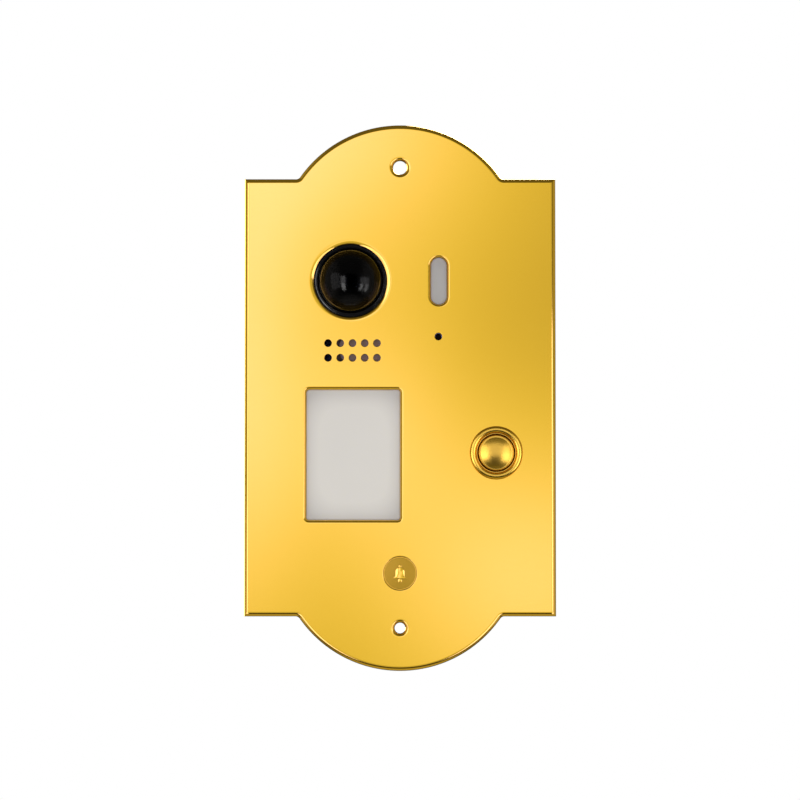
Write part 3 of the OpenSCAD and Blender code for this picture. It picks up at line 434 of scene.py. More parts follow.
frontCard = stageSheet("frontCard", [(sx * halfWidth, -studio["cardDepth"], cameraZ + sz * halfHeight)
                                     for sx, sz in ((-1, -1), (-1, 1), (1, 1), (1, -1))], cardPaint)


def areaLight(name, place, aim, width, height, radiance):
    # a panel's power is its radiance times pi times its area
    light = bpy.data.lights.new(name, "AREA")
    light.shape = "RECTANGLE"
    light.size = width
    light.size_y = height
    light.energy = radiance * math.pi * width * height
    lamp = bpy.data.objects.new(name, light)
    bpy.context.scene.collection.objects.link(lamp)
    lamp.location = place
    direction = np.array(aim) - np.array(place)
    direction = direction / np.linalg.norm(direction)
    lamp.rotation_euler = Vector(direction.tolist()).to_track_quat("-Z", "Y").to_euler()
    lamp.visible_camera = False
    return lamp


def sideLamp(name, row, tint, receivers):
    # an upright panel on a circle about the plate, which lights one set of pieces
    start, end, low, high, radiance = row
    turn = math.radians((start + end) / 2)
    width = 2 * studio["lampReach"] * math.tan(math.radians(end - start) / 2)
    x, y = studio["lampReach"] * math.sin(turn), -studio["lampReach"] * math.cos(turn)
    z = (low + high) / 2
    lamp = areaLight(name, (x, y, z), (0, 0, z), width, high - low, radiance)
    lamp.data.color = tint
    lamp.light_linking.receiver_collection = receivers


litSets = {key: bpy.data.collections.new(key + "Set")
           for key in ("plate", "button", "glass", "room", "card")}
frontCard.light_linking.receiver_collection = litSets["card"]
for key, tint in studio["tints"].items():
    for number, row in enumerate(studio[key + "Lamps"]):
        sideLamp("%sLamp%d" % (key, number), row, tint, litSets[key])
for name, (place, width, height, radiance) in studio["softLamps"].items():
    lamp = areaLight(name, place, (0, 0, 0), width, height, radiance)
    lamp.visible_glossy = name != "topLamp"
    lamp.light_linking.receiver_collection = litSets["card"]

# floor: a pale round sheet, clear from below
floorPaint = bpy.data.materials.new("floorPaint")
t = Tree(floorPaint)
where = t.node("ShaderNodeTexCoord", out="Object")
reach = t.node("ShaderNodeVectorMath", {"operation": "LENGTH"}, {0: where}, out="Value")
fadeStart, fadeEnd = [studio["floorRadius"] * mm * share for share in studio["floorFade"]]
fade = t.span(reach, fadeStart, fadeEnd, 0.0, 1.0)
under = t.node("ShaderNodeNewGeometry", out="Backfacing")
pale = t.node("ShaderNodeBsdfPrincipled", {}, {"Base Color": studio["floorColour"],
                                              "Roughness": studio["floorRoughness"],
                                              "Emission Color": (1, 1, 1),
                                              "Emission Strength": studio["floorGlow"]})
clear = t.node("ShaderNodeBsdfTransparent")
t.node("ShaderNodeOutputMaterial", {}, {"Surface": t.node(
    "ShaderNodeMixShader", {}, {0: fade.calc("MAXIMUM", under), 1: pale, 2: clear})})
floor = stageSheet("floor", [(studio["floorRadius"] * math.cos(a), studio["floorRadius"] * math.sin(a),
                              studio["floorZ"])
                             for a in np.linspace(0, 2 * math.pi, studio["floorCorners"] + 1)[:-1]],
                   floorPaint, True)
floor.visible_glossy = False
floor.visible_shadow = False
floor.visible_transmission = False
print("camera and lights are set")


brass = {
    "polished": (0.98, 0.59, 0.034), "satin": (0.53, 0.31, 0.016),
    "turned": ((0.70, 0.48, 0.18), (0.80, 0.56, 0.22)),
    "cap": ((0.86, 0.51, 0.028), (0.94, 0.57, 0.036)),
    # smoothest and roughest of each finish
    "polishedRough": (0.07, 0.11), "collarRough": (0.18, 0.24), "capRough": (0.27, 0.33),
    "satinRough": (0.26, 0.36), "turnedRough": (0.24, 0.38),
    "lacquer": 0.25, "lacquerRough": 0.06,
    # polished: sizes of clouds, grain and wipe marks in millimetres, their lean, and the pale share
    "cloud": 26.0, "grain": 0.35, "wipe": 0.5, "wipeLean": 0.35, "paler": (1.0, 1.01, 1.1),
}


def polishedBrass():
    # lacquered, with faint clouds and wipe marks that lean a little
    material, t = newFinish("polishedBrass")
    where = t.place()
    cloud = t.noise(where, brass["cloud"], 3.0)
    fine = t.noise(where, brass["grain"], 2.0, 0.6)
    wipe = t.noise(t.place((0.06, 1, 1), turn=(0, brass["wipeLean"], 0)), brass["wipe"], 2.0, 0.6)
    pale = tuple(c * k for c, k in zip(brass["polished"], brass["paler"]))
    t.surface({"Base Color": t.mix(cloud, brass["polished"], pale), "Metallic": 1.0,
               "Roughness": t.roughen(fine * 0.5 + wipe * 0.5, *brass["polishedRough"]),
               "Coat Weight": brass["lacquer"], "Coat Roughness": brass["lacquerRough"],
               "Normal": t.bump(fine, 0.0006)})
    return material


def collarBrass():
    # brass buffed by hand: a little softer than the plate
    material, t = newFinish("collarBrass")
    fine = t.noise(t.place(), 0.3, 2.0, 0.6)
    drift = t.noise(t.place(), 6.0, 3.0)
    deep = tuple(c * 0.95 for c in brass["polished"])
    t.surface({"Base Color": t.mix(drift, deep, brass["polished"]), "Metallic": 1.0,
               "Roughness": t.roughen(fine, *brass["collarRough"]), "Normal": t.bump(fine, 0.001)})
    return material


def satinBrass():
    # matted all over, without a direction
    material, t = newFinish("satinBrass")
    where = t.place()
    fine = t.noise(where, 0.12, 2.0, 0.6)
    cloud = t.noise(where, 5.0, 3.0)
    dark = tuple(c * 0.93 for c in brass["satin"])
    t.surface({"Base Color": t.mix(cloud, dark, brass["satin"]), "Metallic": 1.0,
               "Roughness": t.roughen(fine, *brass["satinRough"]), "Normal": t.bump(fine, 0.004)})
    return material


def turnedBrass():
    # straight from the lathe: fine rings along the part's axis
    material, t = newFinish("turnedBrass")
    rings = t.noise(t.place((1, 14, 1)), 1.2, 2.0, 0.6)
    t.surface({"Base Color": t.mix(t.noise(t.place(), 2.5), *brass["turned"]), "Metallic": 1.0,
               "Roughness": t.roughen(rings, *brass["turnedRough"]), "Normal": t.bump(rings, 0.006)})
    return material


foam = {"skin": (0.035, 0.035, 0.038), "bubble": (0.075, 0.075, 0.08), "bubbleSize": 0.55, "depth": 0.12}


def gasketFoam():
    material, t = newFinish("gasketFoam")
    where = t.place()
    bubbles = t.cells(where, foam["bubbleSize"])
    fine = t.noise(where, 0.2)
    t.surface({"Base Color": t.mix(bubbles, foam["skin"], foam["bubble"]),
               "Roughness": t.roughen(fine, 0.8, 0.95), "Normal": t.bump(bubbles, foam["depth"])})
    return material


board = {
    "mask": (0.012, 0.10, 0.035), "overCopper": (0.03, 0.19, 0.07), "tin": (0.62, 0.60, 0.55),
    "lane": 1.27,            # from one track to the next
    "wander": 9.0,           # how far the tracks stray
    "padSpacing": 4.2,
}


def boardGreen():
    # solder mask over a maze of copper tracks, with small plated holes
    material, t = newFinish("boardGreen")
    where = t.place()
    x = t.split(where)[0]
    lane = (x + t.noise(t.place((1, 1, 0.15)), 6.0, 0.0) * board["wander"]) / board["lane"]
    copper = t.span(lane.calc("PINGPONG", 0.5), 0.16, 0.2, 1.0, 0.0)
    pad = t.span(t.cells(where, board["padSpacing"]), 0.1, 0.12, 1.0, 0.0)
    green = t.mix(copper, board["mask"], board["overCopper"])
    t.surface({"Base Color": t.mix(pad, green, board["tin"]),
               "Metallic": pad * 0.9, "Roughness": t.roughen(t.noise(where, 0.6), 0.28, 0.42),
               "Normal": t.bump(copper * 0.5 + pad, 0.03)})
    return material


# the hollow colour is painted shade in the low spots of the weave
cloth = {"thread": 0.28, "hollow": (0.34, 0.31, 0.29), "crest": (0.74, 0.68, 0.64), "depth": 0.06}


def greyCloth():
    # a plain weave: two sets of threads that pass over and under each other
    material, t = newFinish("greyCloth")
    x, _, z = t.split(t.place())
    warp = (x * (math.pi / cloth["thread"])).calc("SINE")
    weft = (z * (math.pi / cloth["thread"])).calc("SINE")
    thread = warp * weft * 0.5 + 0.5
    fuzz = t.noise(t.place(), 0.15, 3.0)
    # painted shade: the weave is darker where it dips between the threads
    t.surface({"Base Color": t.mix(thread * 0.7 + fuzz * 0.3, cloth["hollow"], cloth["crest"]),
               "Roughness": t.span(fuzz, 0.2, 0.8, 0.8, 0.95), "Sheen Weight": 0.3,
               "Normal": t.bump(thread + fuzz * 0.3, cloth["depth"])})
    return material


milky = {
    # the rim colour is painted shade from the recess round the pane, and the glow is a painted glow
    "middle": (0.89, 0.86, 0.74), "rim": (0.60, 0.58, 0.505), "streak": (0.76, 0.735, 0.645),
    "half": (21.0, 29.0),    # half width and height at which the rim's painted shade is full
    "paintedGlowColour": (0.85, 0.83, 0.78), "glow": 0.06,
    "grey": ((0.50, 0.49, 0.425), (0.57, 0.56, 0.49)),
}


def opalPane():
    # milky acrylic over a card, softly brighter in its middle: painted shade darkens its rim where the
    # recess shades it, and a faint painted glow lifts it
    material, t = newFinish("opalPane")
    x, _, z = t.split(t.place(centre=middleOf("name_pane")))
    # painted shade: the colour darkens from the middle towards the rim
    away = (x / milky["half"][0]) ** 4.0 + (z / milky["half"][1]) ** 4.0
    edge = t.span(away, 0.2, 1.0, 0.0, 1.0)
    streaks = t.noise(t.place(), 14.0, 2.0)
    colour = t.mix(edge, milky["middle"], milky["rim"])
    t.surface({"Base Color": t.mix(streaks * 0.12, colour, milky["streak"]),
               "Roughness": t.roughen(t.noise(t.place(), 0.5), 0.32, 0.4),
               "Specular IOR Level": 0.35,
               # a faint painted glow
               "Emission Color": milky["paintedGlowColour"], "Emission Strength": milky["glow"],
               "Normal": t.bump(t.noise(t.place(), 0.3), 0.002)})
    return material


def greyPane():
    material, t = newFinish("greyPane")
    streaks = t.noise(t.place(), 5.0, 2.0)
    t.surface({"Base Color": t.mix(streaks, *milky["grey"]),
               "Roughness": t.roughen(t.noise(t.place(), 0.4), 0.3, 0.4),
               "Normal": t.bump(t.noise(t.place(), 0.3), 0.002)})
    return material


glass = {
    "smoke": (0.05, 0.05, 0.055), "smokeBend": 1.24, "smokeRough": (0.12, 0.15),
    "lens": (0.02, 0.03, 0.05), "lensBend": 1.8, "bloom": (0.55, 0.75, 1.0),
    "acrylic": (0.93, 0.95, 0.95), "acrylicBend": 1.49, "acrylicClear": 0.9,
}


def smokedDome():
    material, t = newFinish("smokedDome")
    haze = t.noise(t.place(), 2.0, 3.0)
    t.surface({"Base Color": glass["smoke"], "Transmission Weight": 1.0, "IOR": glass["smokeBend"],
               "Roughness": t.roughen(haze, *glass["smokeRough"])})
    return material


def lensGlass():
    # dark glass with a bluish coating
    material, t = newFinish("lensGlass")
    t.surface({"Base Color": glass["lens"], "IOR": glass["lensBend"], "Coat Weight": 1.0,
               "Coat Tint": glass["bloom"], "Roughness": t.roughen(t.noise(t.place(), 1.0), 0.02, 0.04)})
    return material


def clearAcrylic():
    material, t = newFinish("clearAcrylic")
    t.surface({"Base Color": glass["acrylic"], "Transmission Weight": glass["acrylicClear"],
               "IOR": glass["acrylicBend"],
               "Roughness": t.roughen(t.noise(t.place(), 0.8), 0.12, 0.2)})
    return material


zinc = {"dark": (0.56, 0.57, 0.58), "light": (0.70, 0.70, 0.69), "spangle": 1.6}


def zincSteel():
    # zinc plate whose crystals show as pale and dark patches
    material, t = newFinish("zincSteel")
    spangle = t.cells(t.place(), zinc["spangle"])
    fine = t.noise(t.place((1, 10, 1)), 0.8, 2.0)
    t.surface({"Base Color": t.mix(spangle, zinc["dark"], zinc["light"]), "Metallic": 1.0,
               "Roughness": t.roughen(fine, 0.28, 0.4), "Normal": t.bump(fine, 0.008)})
    return material


# by material slot
finishes = {
    "polished_brass": polishedBrass(), "satin_brass": satinBrass(), "turned_brass": turnedBrass(),
    "gasket_foam": gasketFoam(), "smoked_dome": smokedDome(), "lens_glass": lensGlass(),
    "zinc_steel": zincSteel(), "grey_pane": greyPane(), "opal_pane": opalPane(),
    "clear_acrylic": clearAcrylic(), "grey_cloth": greyCloth(),
    "black_gloss": grained("blackGloss", (0.008, 0.008, 0.009), 0.12, lump=4.0, grain=0.6, depth=0.0008),
    "black_rubber": grained("blackRubber", (0.03, 0.03, 0.031), 0.7, grain=0.15, depth=0.01),
    "black_plastic": grained("blackPlastic", (0.034, 0.034, 0.037), 0.5, lump=12.0, grain=0.22, depth=0.03),
    "capsule_aluminium": grained("capsuleAluminium", (0.75, 0.75, 0.76), 0.3, 1.0, stretch=(1, 0.1, 1)),
    "board_green": boardGreen(),
    "chip_black": grained("chipBlack", (0.018, 0.018, 0.02), 0.6, grain=0.12, depth=0.01),
    "capacitor_sleeve": grained("capacitorSleeve", (0.02, 0.03, 0.11), 0.3, grain=0.5, depth=0.002),
    "relay_blue": grained("relayBlue", (0.02, 0.10, 0.36), 0.42, grain=0.2, depth=0.008),
    "terminal_green": grained("terminalGreen", (0.03, 0.30, 0.11), 0.45, grain=0.2, depth=0.01),
    "white_plastic": grained("whitePlastic", (0.80, 0.80, 0.78), 0.45, tint=0.03, grain=0.2, depth=0.008),
    "red_plastic": grained("redPlastic", (0.55, 0.03, 0.02), 0.4, grain=0.2, depth=0.008),
    "card": grained("paperCard", (0.86, 0.84, 0.77), 0.85, tint=0.03, grain=0.12, depth=0.01),
    "cone_film": grained("coneFilm", (0.10, 0.095, 0.085), 0.5, grain=0.3, depth=0.02),
    "ribbon_white": grained("ribbonWhite", (0.78, 0.78, 0.75), 0.45, tint=0.03, stretch=(1, 0.1, 0.1)),
    "lead_red": grained("leadRed", (0.50, 0.02, 0.015), 0.4, grain=0.4, depth=0.003),
    "lead_blue": grained("leadBlue", (0.02, 0.05, 0.36), 0.4, grain=0.4, depth=0.003),
}
print("finishes are mixed:", len(finishes))


plate = {
    "width": 127.4, "bodyHeight": 179.0, "archRadius": 50.0, "archDrop": 27.8,
    "hollow": 2.0,           # radius where an arch meets a shoulder
    "guard": 2.2,            # the outline has no points this near to a corner, where its edge would fold
    # radii of the rounded edges, and the flat step that follows each on the face
    "edge": 1.8, "screwEdge": 1.4, "slotEdge": 0.95, "soundEdge": 0.16, "windowEdge": 1.2,
    "buttonEdge": 0.05, "step": 0.25, "fineStep": 0.12, "fineBelow": 0.5,
    "screwZ": 94.25, "screwRadii": (2.85, 2.2),
    "soundPitch": (5.0, 6.0), "soundRadius": 1.5, "soundCentre": (-19.41, 19.10), "soundColumns": 5,
    "micPlace": (15.7, 24.80),
    "slotSize": (6.85, 19.5), "windowSize": (38.5, 53.4), "windowCorner": 1.2,
    "boreRadius": 15.0, "cameraLean": 21.0, "buttonHole": 9.2,
    "badgeDepth": 0.8, "badgeRim": 0.5, "badgeStep": 0.15,
    "slotRoundPlay": 1e-4,   # keeps a little straight line between the slot's corners
    # how many straight pieces or points make each round shape
    "steps": {"arch": 56, "screw": 56, "sound": 40, "camera": 128, "button": 96, "badge": 96,
              "slot": 20, "window": 10, "edge": 8, "outerEdge": 12, "rim": 7},
}

plateLow, plateHigh = boxOf("faceplate")
plateFront, plateBack = plateLow[1], plateHigh[1]
domeAt, slotAt, windowAt, buttonAt, badgeAt = [middleOf(node)[[0, 2]] for node in (
    "camera_dome", "light_window", "name_pane", "button_cap", "badge")]
badgeRadius = (boxOf("badge")[1] - boxOf("badge")[0])[0] / 2


def plateOutline():
    # one quarter is a side, a corner, a shoulder, a small hollow and a quarter of arch,
    # and the other three are its mirrors
    w, h = plate["width"] / 2, plate["bodyHeight"] / 2
    r, f = plate["archRadius"], plate["hollow"]
    archZ = h - plate["archDrop"]
    hollowX = math.sqrt((r + f) ** 2 - (plate["archDrop"] + f) ** 2)
    meet = math.atan2(plate["archDrop"] + f, hollowX)
    z = np.array([0, h * 0.3, h * 0.6, h * 0.85, h - plate["guard"]])
    side = np.stack([np.full(5, w), z], 1)
    x = np.array([w - plate["guard"], (w + hollowX) / 2, hollowX])
    shoulder = np.stack([x, np.full(3, h)], 1)
    a = np.linspace(-math.pi / 2, -math.pi / 2 - (math.pi / 2 - meet), 9)[1:]
    hollow = np.array([hollowX, h + f]) + f * np.stack([np.cos(a), np.sin(a)], 1)
    b = np.linspace(meet, math.pi / 2, plate["steps"]["arch"])[1:]
    arch = np.array([0, archZ]) + r * np.stack([np.cos(b), np.sin(b)], 1)
    points = np.concatenate([side, [[w, h]], shoulder, hollow, arch])
    outs = np.concatenate([np.tile([1.0, 0.0], (5, 1)), [[1.0, 1.0]], np.tile([0.0, 1.0], (3, 1)),
                           -np.stack([np.cos(a), np.sin(a)], 1), np.stack([np.cos(b), np.sin(b)], 1)])
    mirror = np.array([-1.0, 1.0])
    half = np.concatenate([points[:-1], (points[::-1] * mirror)[:-1]])
    halfOut = np.concatenate([outs[:-1], (outs[::-1] * mirror)[:-1]])
    return np.concatenate([half, -half]), np.concatenate([halfOut, -halfOut])


def edgeProfile(edge, steps, hold, lean):
    # from the back up the wall, round an arc of lean degrees on to the face, and a short flat step
    a = np.radians(np.linspace(90.0 - lean, 90.0, steps + 1))
    radius = edge / math.sin(math.radians(lean))
    turn = np.stack([edge - radius * np.cos(a), plateFront + radius * (1 - np.sin(a))], 1)
    return np.concatenate([[[0.0, plateBack]], turn, [[edge + hold, plateFront]]])


def buildFaceplate():
    # each opening's edge is a profile swept along its loop, and flat faces join them at front and back
    parts, fronts, backs = [], [], []
    steps = plate["steps"]

    def addEdge(loop, out, edge, count, hold=plate["step"], lean=90.0):
        parts.append(sweepLoop(loop, out, edgeProfile(edge, count, hold, lean)))
        return loop + out * (edge + hold), loop

    outline, out = plateOutline()
    outerFront, outerBack = addEdge(outline, -out, plate["edge"], steps["outerEdge"])
    openings = []
    for side, radius in zip((1, -1), plate["screwRadii"]):
        openings.append((circleLoop(0, side * plate["screwZ"], radius, steps["screw"]),
                         plate["screwEdge"]))
    cameraHole = circleLoop(*domeAt, plate["boreRadius"], steps["camera"])
    openings.append((cameraHole, plate["edge"]))
    w, h = plate["slotSize"]
    openings.append((roundedLoop(*slotAt, w, h, w / 2 - plate["slotRoundPlay"], steps["slot"]),
                     plate["slotEdge"]))
    openings.append((circleLoop(*plate["micPlace"], plate["soundRadius"], steps["sound"]),
                     plate["soundEdge"]))
    dx, dz = plate["soundPitch"]
    for column in range(plate["soundColumns"]):
        for side in (-1, 1):
            x = plate["soundCentre"][0] + (column - (plate["soundColumns"] - 1) / 2) * dx
            z = plate["soundCentre"][1] + side * dz / 2
            openings.append((circleLoop(x, z, plate["soundRadius"], steps["sound"]),
                             plate["soundEdge"]))
    openings.append((roundedLoop(*windowAt, *plate["windowSize"], plate["windowCorner"],
                                 steps["window"]), plate["windowEdge"]))
    openings.append((circleLoop(*buttonAt, plate["buttonHole"], steps["button"]),
                     plate["buttonEdge"]))
    for (loop, away), edge in openings:
        hold = plate["fineStep"] if edge < plate["fineBelow"] else plate["step"]
        lean = plate["cameraLean"] if loop is cameraHole[0] else 90.0
        front, back = addEdge(loop, away, edge, steps["edge"], hold, lean)
        fronts.append(front)
        backs.append(back)
    # the badge's pocket, with a rounded rim
    loop, away = circleLoop(*badgeAt, badgeRadius, steps["badge"])
    rim, step = plate["badgeRim"], plate["badgeStep"]
    turn = np.linspace(0, math.pi / 2, steps["rim"])
    arc = np.stack([rim * (1 - np.cos(turn)), plateFront + rim * (1 - np.sin(turn))], 1)
    floorY = plateFront + plate["badgeDepth"]
    profile = np.concatenate([[[-badgeRadius, floorY], [0, floorY]], arc, [[rim + step, plateFront]]])
    parts.append(sweepLoop(loop, away, profile))
    fronts.append(loop + away * (rim + step))
    parts.append(fillBetween(outerFront, fronts, plateFront))
    parts.append(fillBetween(outerBack, backs, plateBack))
    return makePiece("facePlate", parts, "panel", finishes["polished_brass"],
                     ["faceplate"])


facePlate = buildFaceplate()
print("faceplate has", len(facePlate.data.polygons), "faces")


dome = {
    "radius": 13.2, "wall": 1.2, "centreY": -2.5, "inset": 1.0,
    "flange": 15.6, "flangeThickness": 1.0, "flangeRounds": [0, 0.25, 0.2, 0.2, 0.2, 0],
    "ringOuter": 14.9, "ringFront": -4.1, "ringBack": 1.5, "ringFlange": 17.4,
    # the ring's face: distance past the bore or the outer wall, and depth behind the front
    "faceAtBore": [(0, 0.9), (0, 0.12), (0.12, 0), (0.45, -0.02), (0.6, 0.16), (0.75, -0.02)],
    "faceAtRim": [(-0.55, 0.05), (-0.42, 0.24), (-0.26, 0.04), (-0.1, 0.05), (0, 0.25)],
    "faceRound": 0.06, "ringRound": 0.12,
    "play": 0.1,             # round the dome's ball and its flange
    "gap": 0.02,             # before the plate and behind the ring
    "seatDepth": 2.0,
    "steps": 160, "ballSteps": 49,
}


def buildDome():
    # a half ball with a short skirt and a flange, as a thin shell turned about the camera's axis
    r, inner, y0 = dome["radius"], dome["radius"] - dome["wall"], dome["centreY"]
    a = np.linspace(0, math.pi / 2, dome["ballSteps"])
    outside = np.stack([r * np.sin(a), y0 - r * np.cos(a)], 1)
    inside = np.stack([inner * np.sin(a), y0 - inner * np.cos(a)], 1)[::-1]
    back = dome["ringBack"] - dome["inset"]
    front = back - dome["flangeThickness"]
    flange = easedPath([[r, y0], [r, front], [dome["flange"], front], [dome["flange"], back],
                        [inner, back], [inner, y0]], dome["flangeRounds"], 4)
    profile = np.concatenate([outside, flange[1:-1], inside])
    makePiece("smokedCover", [lathe(profile, domeAt, dome["steps"])], "panel", finishes["smoked_dome"],
              ["camera_dome"], sharp=50)


def buildDomeRing():
    # a flat gloss band with two fine turned grooves, a bore for the dome and a flange behind the plate
    bore, outer, front = dome["radius"] + dome["play"], dome["ringOuter"], dome["ringFront"]
    face = [[bore + across, front + depth] for across, depth in dome["faceAtBore"]]
    face += [[outer + across, front + depth] for across, depth in dome["faceAtRim"]]
    y1, back = plateBack + dome["gap"], dome["ringBack"] - dome["gap"]
    shoulder, seat = back - dome["seatDepth"], dome["flange"] + dome["play"]
    rest = easedPath([face[-1], [outer, y1], [dome["ringFlange"], y1], [dome["ringFlange"], back],
                      [seat, back], [seat, shoulder], [bore, shoulder], face[0]], dome["ringRound"], 3)
    profile = np.concatenate([easedPath(face, dome["faceRound"], 4), rest[1:]])
    makePiece("domeRing", [lathe(profile, domeAt, dome["steps"])], "panel", finishes["black_gloss"],
              ["dome_ring"], sharp=40)


buildDome()
buildDomeRing()
print("dome and ring are made")


pane = {
    "recess": 1.6,           # from the plate's face to the pane's
    "soft": 0.35, "softStep": 0.4, "play": 0.1, "gap": 0.02,
    # flanges behind the plate: how far they reach past the opening, and their thickness
    "lightFlange": (2.0, 1.46), "nameFlange": (1.15, 1.16),
    "lightCornerPlay": 0.06,
    "edgeSteps": 7, "cornerSteps": 12,
}


def buildPane(name, node, size, corner, flange, slot):
    # a raised pad that fills the opening, with a softly rounded front edge, on a wider flange
    # behind the plate: one profile swept along the pad's outline, closed by two flat faces
    reach, thickness = flange
    soft, step = pane["soft"], pane["softStep"]
    front, y1 = plateFront + pane["recess"], plateBack + pane["gap"]
    turn = np.linspace(0, math.pi / 2, pane["edgeSteps"])
    edge = np.stack([soft * (1 - np.cos(turn)), front + soft * (1 - np.sin(turn))], 1)
    profile = np.concatenate([[[-reach, y1 + thickness], [-reach, y1], [0, y1]], edge,
                              [[soft + step, front]]])
    loop, away = roundedLoop(*middleOf(node)[[0, 2]], size[0] - pane["play"], size[1] - pane["play"],
                             corner, pane["cornerSteps"])
    parts = [sweepLoop(loop, -away, profile),
             fillBetween(loop - away * (soft + step), [], front),
             fillBetween(loop + away * reach, [], y1 + thickness)]
    makePiece(name, parts, "panel", finishes[slot], [node])


buildPane("lightPane", "light_window", plate["slotSize"],
          plate["slotSize"][0] / 2 - pane["lightCornerPlay"], pane["lightFlange"], "grey_pane")
buildPane("namePane", "name_pane", plate["windowSize"], plate["windowCorner"],
          pane["nameFlange"], "opal_pane")
print("panes are made")


button = {
    "collarRadius": 10.9, "collarFront": -6.5, "collarBore": 7.75, "lip": 0.3,
    "collarRound": 0.08, "collarGap": 0.01, "boreEase": 0.1,
    "barrelRadius": 9.0, "barrelBack": 8.0, "webFront": 2.0, "webBack": 4.0, "stemHole": 2.75,
    "capRadius": 7.15, "capFront": -6.3, "capDome": 13.4, "capRim": 0.8, "capThickness": 3.0,
    "capBevel": (0.28, 0.3), "capRounds": [0, 0.2, 0.2, 0.2, 0.2, 0.05, 0.05, 0.05, 0.05, 0.3, 0],
    "stemRadius": 2.5, "neckRadius": 1.7, "stemEnd": 6.5, "clipThickness": 0.8,
    "springRadius": 3.95, "wire": 0.42, "turns": 4.5, "flatTurns": 0.6, "press": 2.0,
    "collarSteps": 144, "beadSteps": 25, "capSteps": 128, "crownSteps": 33,
    "wireSteps": (240, 10),  # along the wire and round it
}


def buildCollar():
    # a half-round bead turned about the button's axis, on a barrel with a web for the stem
    b = button
    bore = b["collarBore"]
    bead = (b["collarRadius"] - bore - b["lip"]) / 2
    beadY = b["collarFront"] + bead
    a = np.linspace(0, math.pi, b["beadSteps"])[::-1]     # from the bore's side over to the rim
    top = np.stack([b["collarRadius"] - bead - bead * np.cos(math.pi - a), beadY - bead * np.sin(a)], 1)
    seatY = plateFront - b["collarGap"]
    body = easedPath([[b["collarRadius"], beadY], [b["collarRadius"], seatY], [b["barrelRadius"], seatY],
                      [b["barrelRadius"], b["barrelBack"]], [bore, b["barrelBack"]], [bore, b["webBack"]],
                      [b["stemHole"], b["webBack"]], [b["stemHole"], b["webFront"]],
                      [bore, b["webFront"]], [bore, beadY + b["boreEase"]],
                      [bore + b["boreEase"], beadY], [bore + b["lip"], beadY]], b["collarRound"], 3)
    profile = np.concatenate([top, body[1:]])
    makePiece("buttonCollar", [lathe(profile, buttonAt, b["collarSteps"])], "panel", collarBrass(),
              ["button_collar"], sharp=40)


def buildCap():
    # a shallow crown with a small step round it, on a stem with a groove for its clip
    b = button
    base = b["capRadius"] - b["capRim"]
    centreY = b["capFront"] + math.sqrt(b["capDome"] ** 2 - base ** 2)
    a = np.linspace(0, math.asin(base / b["capDome"]), b["crownSteps"])
    crown = np.stack([b["capDome"] * np.sin(a), centreY - b["capDome"] * np.cos(a)], 1)
    front, back = b["capFront"], b["capFront"] + b["capThickness"]
    groove = (b["webBack"], b["webBack"] + b["clipThickness"])
    inward, down = b["capBevel"]
    rest = easedPath([[base, front], [b["capRadius"] - inward, front], [b["capRadius"], front + down],
                      [b["capRadius"], back], [b["stemRadius"], back],
                      [b["stemRadius"], groove[0]], [b["neckRadius"], groove[0]],
                      [b["neckRadius"], groove[1]], [b["stemRadius"], groove[1]],
                      [b["stemRadius"], b["stemEnd"]], [0, b["stemEnd"]]], b["capRounds"], 4)
    profile = np.concatenate([crown, rest[1:]])
    makePiece("buttonCap", [lathe(profile, buttonAt, b["capSteps"])], "button",
              finishes["cap_brass"], ["button_cap"], sharp=28)


def buildSpring():
    # vertex (i, j) = a point of the helix + wire radius along angle j, in the plane through the axis;
    # the helix climbs only between its flat ends
    b = button
    start, end = b["capFront"] + b["capThickness"] + b["wire"], b["webFront"] - b["wire"]
    along, around = b["wireSteps"]
    s = np.linspace(0, 1, along)
    angle = s * b["turns"] * 2 * math.pi
    climb = np.clip((s * b["turns"] - b["flatTurns"]) / (b["turns"] - 2 * b["flatTurns"]), 0, 1)
    y = start + (end - start) * climb
    a = np.arange(around) * 2 * math.pi / around
    r = b["springRadius"] + b["wire"] * np.cos(a)[None, :]
    depth = y[:, None] + b["wire"] * np.sin(a)[None, :]
    verts = np.stack([buttonAt[0] + r * np.cos(angle)[:, None], depth,
                      buttonAt[1] + r * np.sin(angle)[:, None]], -1).reshape(-1, 3)
    i, j = np.meshgrid(np.arange(along - 1) * around, np.arange(around), indexing="ij")
    j2 = (j + 1) % around
    faces = np.stack([i + j, i + j2, i + around + j2, i + around + j], -1).reshape(-1, 4)
    firstCap = np.arange(around)[None, :]
    lastCap = firstCap + (along - 1) * around
    tube = makePiece("returnSpring", [(verts, faces), (verts, firstCap), (verts, lastCap)], "panel",
                     finishes["zinc_steel"], ["button_spring"], sharp=60)
    buttonAt[0] * mm
    buttonAt[1] * mm
    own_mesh(tube)


def capBrass():
    # brushed less than the badge, with soft turned rings about the button's axis
    material, t = newFinish("capBrass")
    x, _, z = t.split(t.place(centre=(buttonAt[0], 0, buttonAt[1])))
    away = (x * x + z * z) ** 0.5
    rings = t.node("ShaderNodeTexNoise", {"noise_dimensions": "1D"},
                   {"W": away, "Scale": 5.0, "Detail": 3.0})
    fine = t.noise(t.place(), 0.2, 2.0)
    t.surface({"Base Color": t.mix(rings, *brass["cap"]), "Metallic": 1.0,
               "Roughness": t.roughen(fine * 0.5 + rings * 0.5, *brass["capRough"]),
               "Normal": t.bump(rings, 0.0015)})
    return material


finishes["cap_brass"] = capBrass()
buildCollar()
buildCap()
buildSpring()
print("button is made")


badge = {
    "top": 0.1, "gap": 0.22, "round": 0.15, "relief": 0.3, "soften": 0.12,
    "lift": 0.001,           # between the badge's face and the bell that stands on it
    "bellRadius": 1.9, "crownZ": 0.6,
    # the bell's side, from its waist to its lip: distance past the radius, and height
    "bellSide": [(0, -1.0), (0.35, -1.5), (0.8, -1.75), (0.8, -2.3)],
    # clapper and knob: height of the centre, and radius
    "dots": ((-2.9, 0.85), (2.9, 0.6)),
    "steps": 96, "crownSteps": 28, "dotSteps": 32,
}


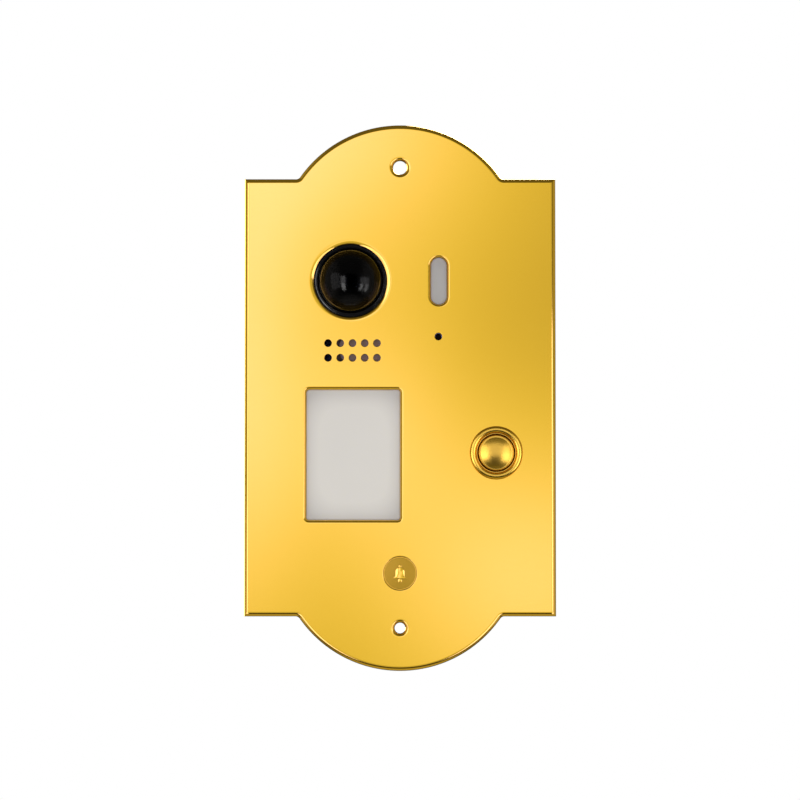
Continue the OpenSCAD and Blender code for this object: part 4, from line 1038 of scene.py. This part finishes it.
def bellLoop():
    # a half circle for the crown and a flared side, mirrored; the outward direction at a point
    # is the line between its two neighbours, turned by a right angle
    r = badge["bellRadius"]
    a = np.linspace(0, math.pi, badge["crownSteps"])
    crown = np.stack([r * np.cos(a), badge["crownZ"] + r * np.sin(a)], 1)
    left = np.array([[-r - past, z] for past, z in badge["bellSide"]])
    right = left[::-1] * [-1, 1]
    points = np.concatenate([crown, left, right])
    ahead, behind = np.roll(points, -1, 0), np.roll(points, 1, 0)
    along = (ahead - behind) / np.linalg.norm(ahead - behind, axis=1)[:, None]
    return points, np.stack([along[:, 1], -along[:, 0]], 1)


def raised(points, out, y0):
    # a flat shape that stands up from a face with a softened top edge
    soften, top = badge["soften"], y0 - badge["relief"]
    profile = np.array([[0, y0], [0, top + soften], [soften * 0.3, top + soften * 0.3], [soften, top]])
    centre = np.asarray(badgeAt)
    return [sweepLoop(points + centre, -out, profile),
            fillBetween(points + centre - out * soften, [], top),
            fillBetween(points + centre, [], y0)]


def buildBadge():
    # a turned disc in its pocket, and the bell as three raised shapes
    back = boxOf("badge")[1][1]
    y0 = plateFront + badge["top"]
    r = badgeRadius - badge["gap"]
    profile = easedPath([[0, y0], [r, y0], [r, back], [0, back]], badge["round"], 5)
    makePiece("bellBadge", [lathe(profile, badgeAt, badge["steps"])], "panel", finishes["satin_brass"],
              ["badge"], sharp=40)
    bell = raised(*bellLoop(), y0 + badge["lift"])
    for z, dot in badge["dots"]:
        bell += raised(*circleLoop(0, z, dot, badge["dotSteps"]), y0 + badge["lift"])
    makePiece("badgeBell", bell, "panel", finishes["polished_brass"], sharp=40)


buildBadge()
print("badge is made")


felt = {"radius": 1.4, "thickness": 0.3, "rounds": [0, 0.12, 0.05, 0], "steps": 48,
        "dark": (0.006, 0.006, 0.006), "light": (0.02, 0.019, 0.018)}


def blackFelt():
    material, t = newFinish("blackFelt")
    fuzz = t.noise(t.place(), 0.12, 4.0, 0.7)
    t.surface({"Base Color": t.mix(fuzz, felt["dark"], felt["light"]), "Roughness": 0.95,
               "Specular IOR Level": 0.2, "Sheen Weight": 0.2, "Normal": t.bump(fuzz, 0.03)})
    return material


def buildFelt():
    # a thin disc with a rounded edge, turned about the microphone's axis
    back = boxOf("mic_capsule")[0][1]
    front = back - felt["thickness"]
    profile = easedPath([[0, front], [felt["radius"], front], [felt["radius"], back], [0, back]],
                        felt["rounds"], 5)
    centre = middleOf("mic_capsule")[[0, 2]]
    makePiece("micFelt", [lathe(profile, centre, felt["steps"])], "panel", blackFelt())


buildFelt()
print("microphone felt is made")

for part in frame["record"]["subparts"]:
    node = frame["nodes"][part["node"]]
    node.data.materials.clear()
    node.data.materials.append(finishes[part["material_slot"]])

# which lamps light each piece: the collections hold the pieces that a lamp reaches
brassFinishes = {"polishedBrass", "satinBrass", "turnedBrass"}
for piece in [o for o in bpy.context.scene.objects if o.type == "MESH" and o not in (floor, frontCard)]:
    isBrass = any(m and m.name in brassFinishes for m in piece.data.materials)
    if piece.name in ("smokedCover", "domeRing"):
        litSets["glass"].objects.link(piece)
    elif piece.name in ("buttonCollar", "buttonCap"):
        litSets["button"].objects.link(piece)
    else:
        litSets["plate" if isBrass else "room"].objects.link(piece)
        litSets["card"].objects.link(piece)

print("all pieces are in place")
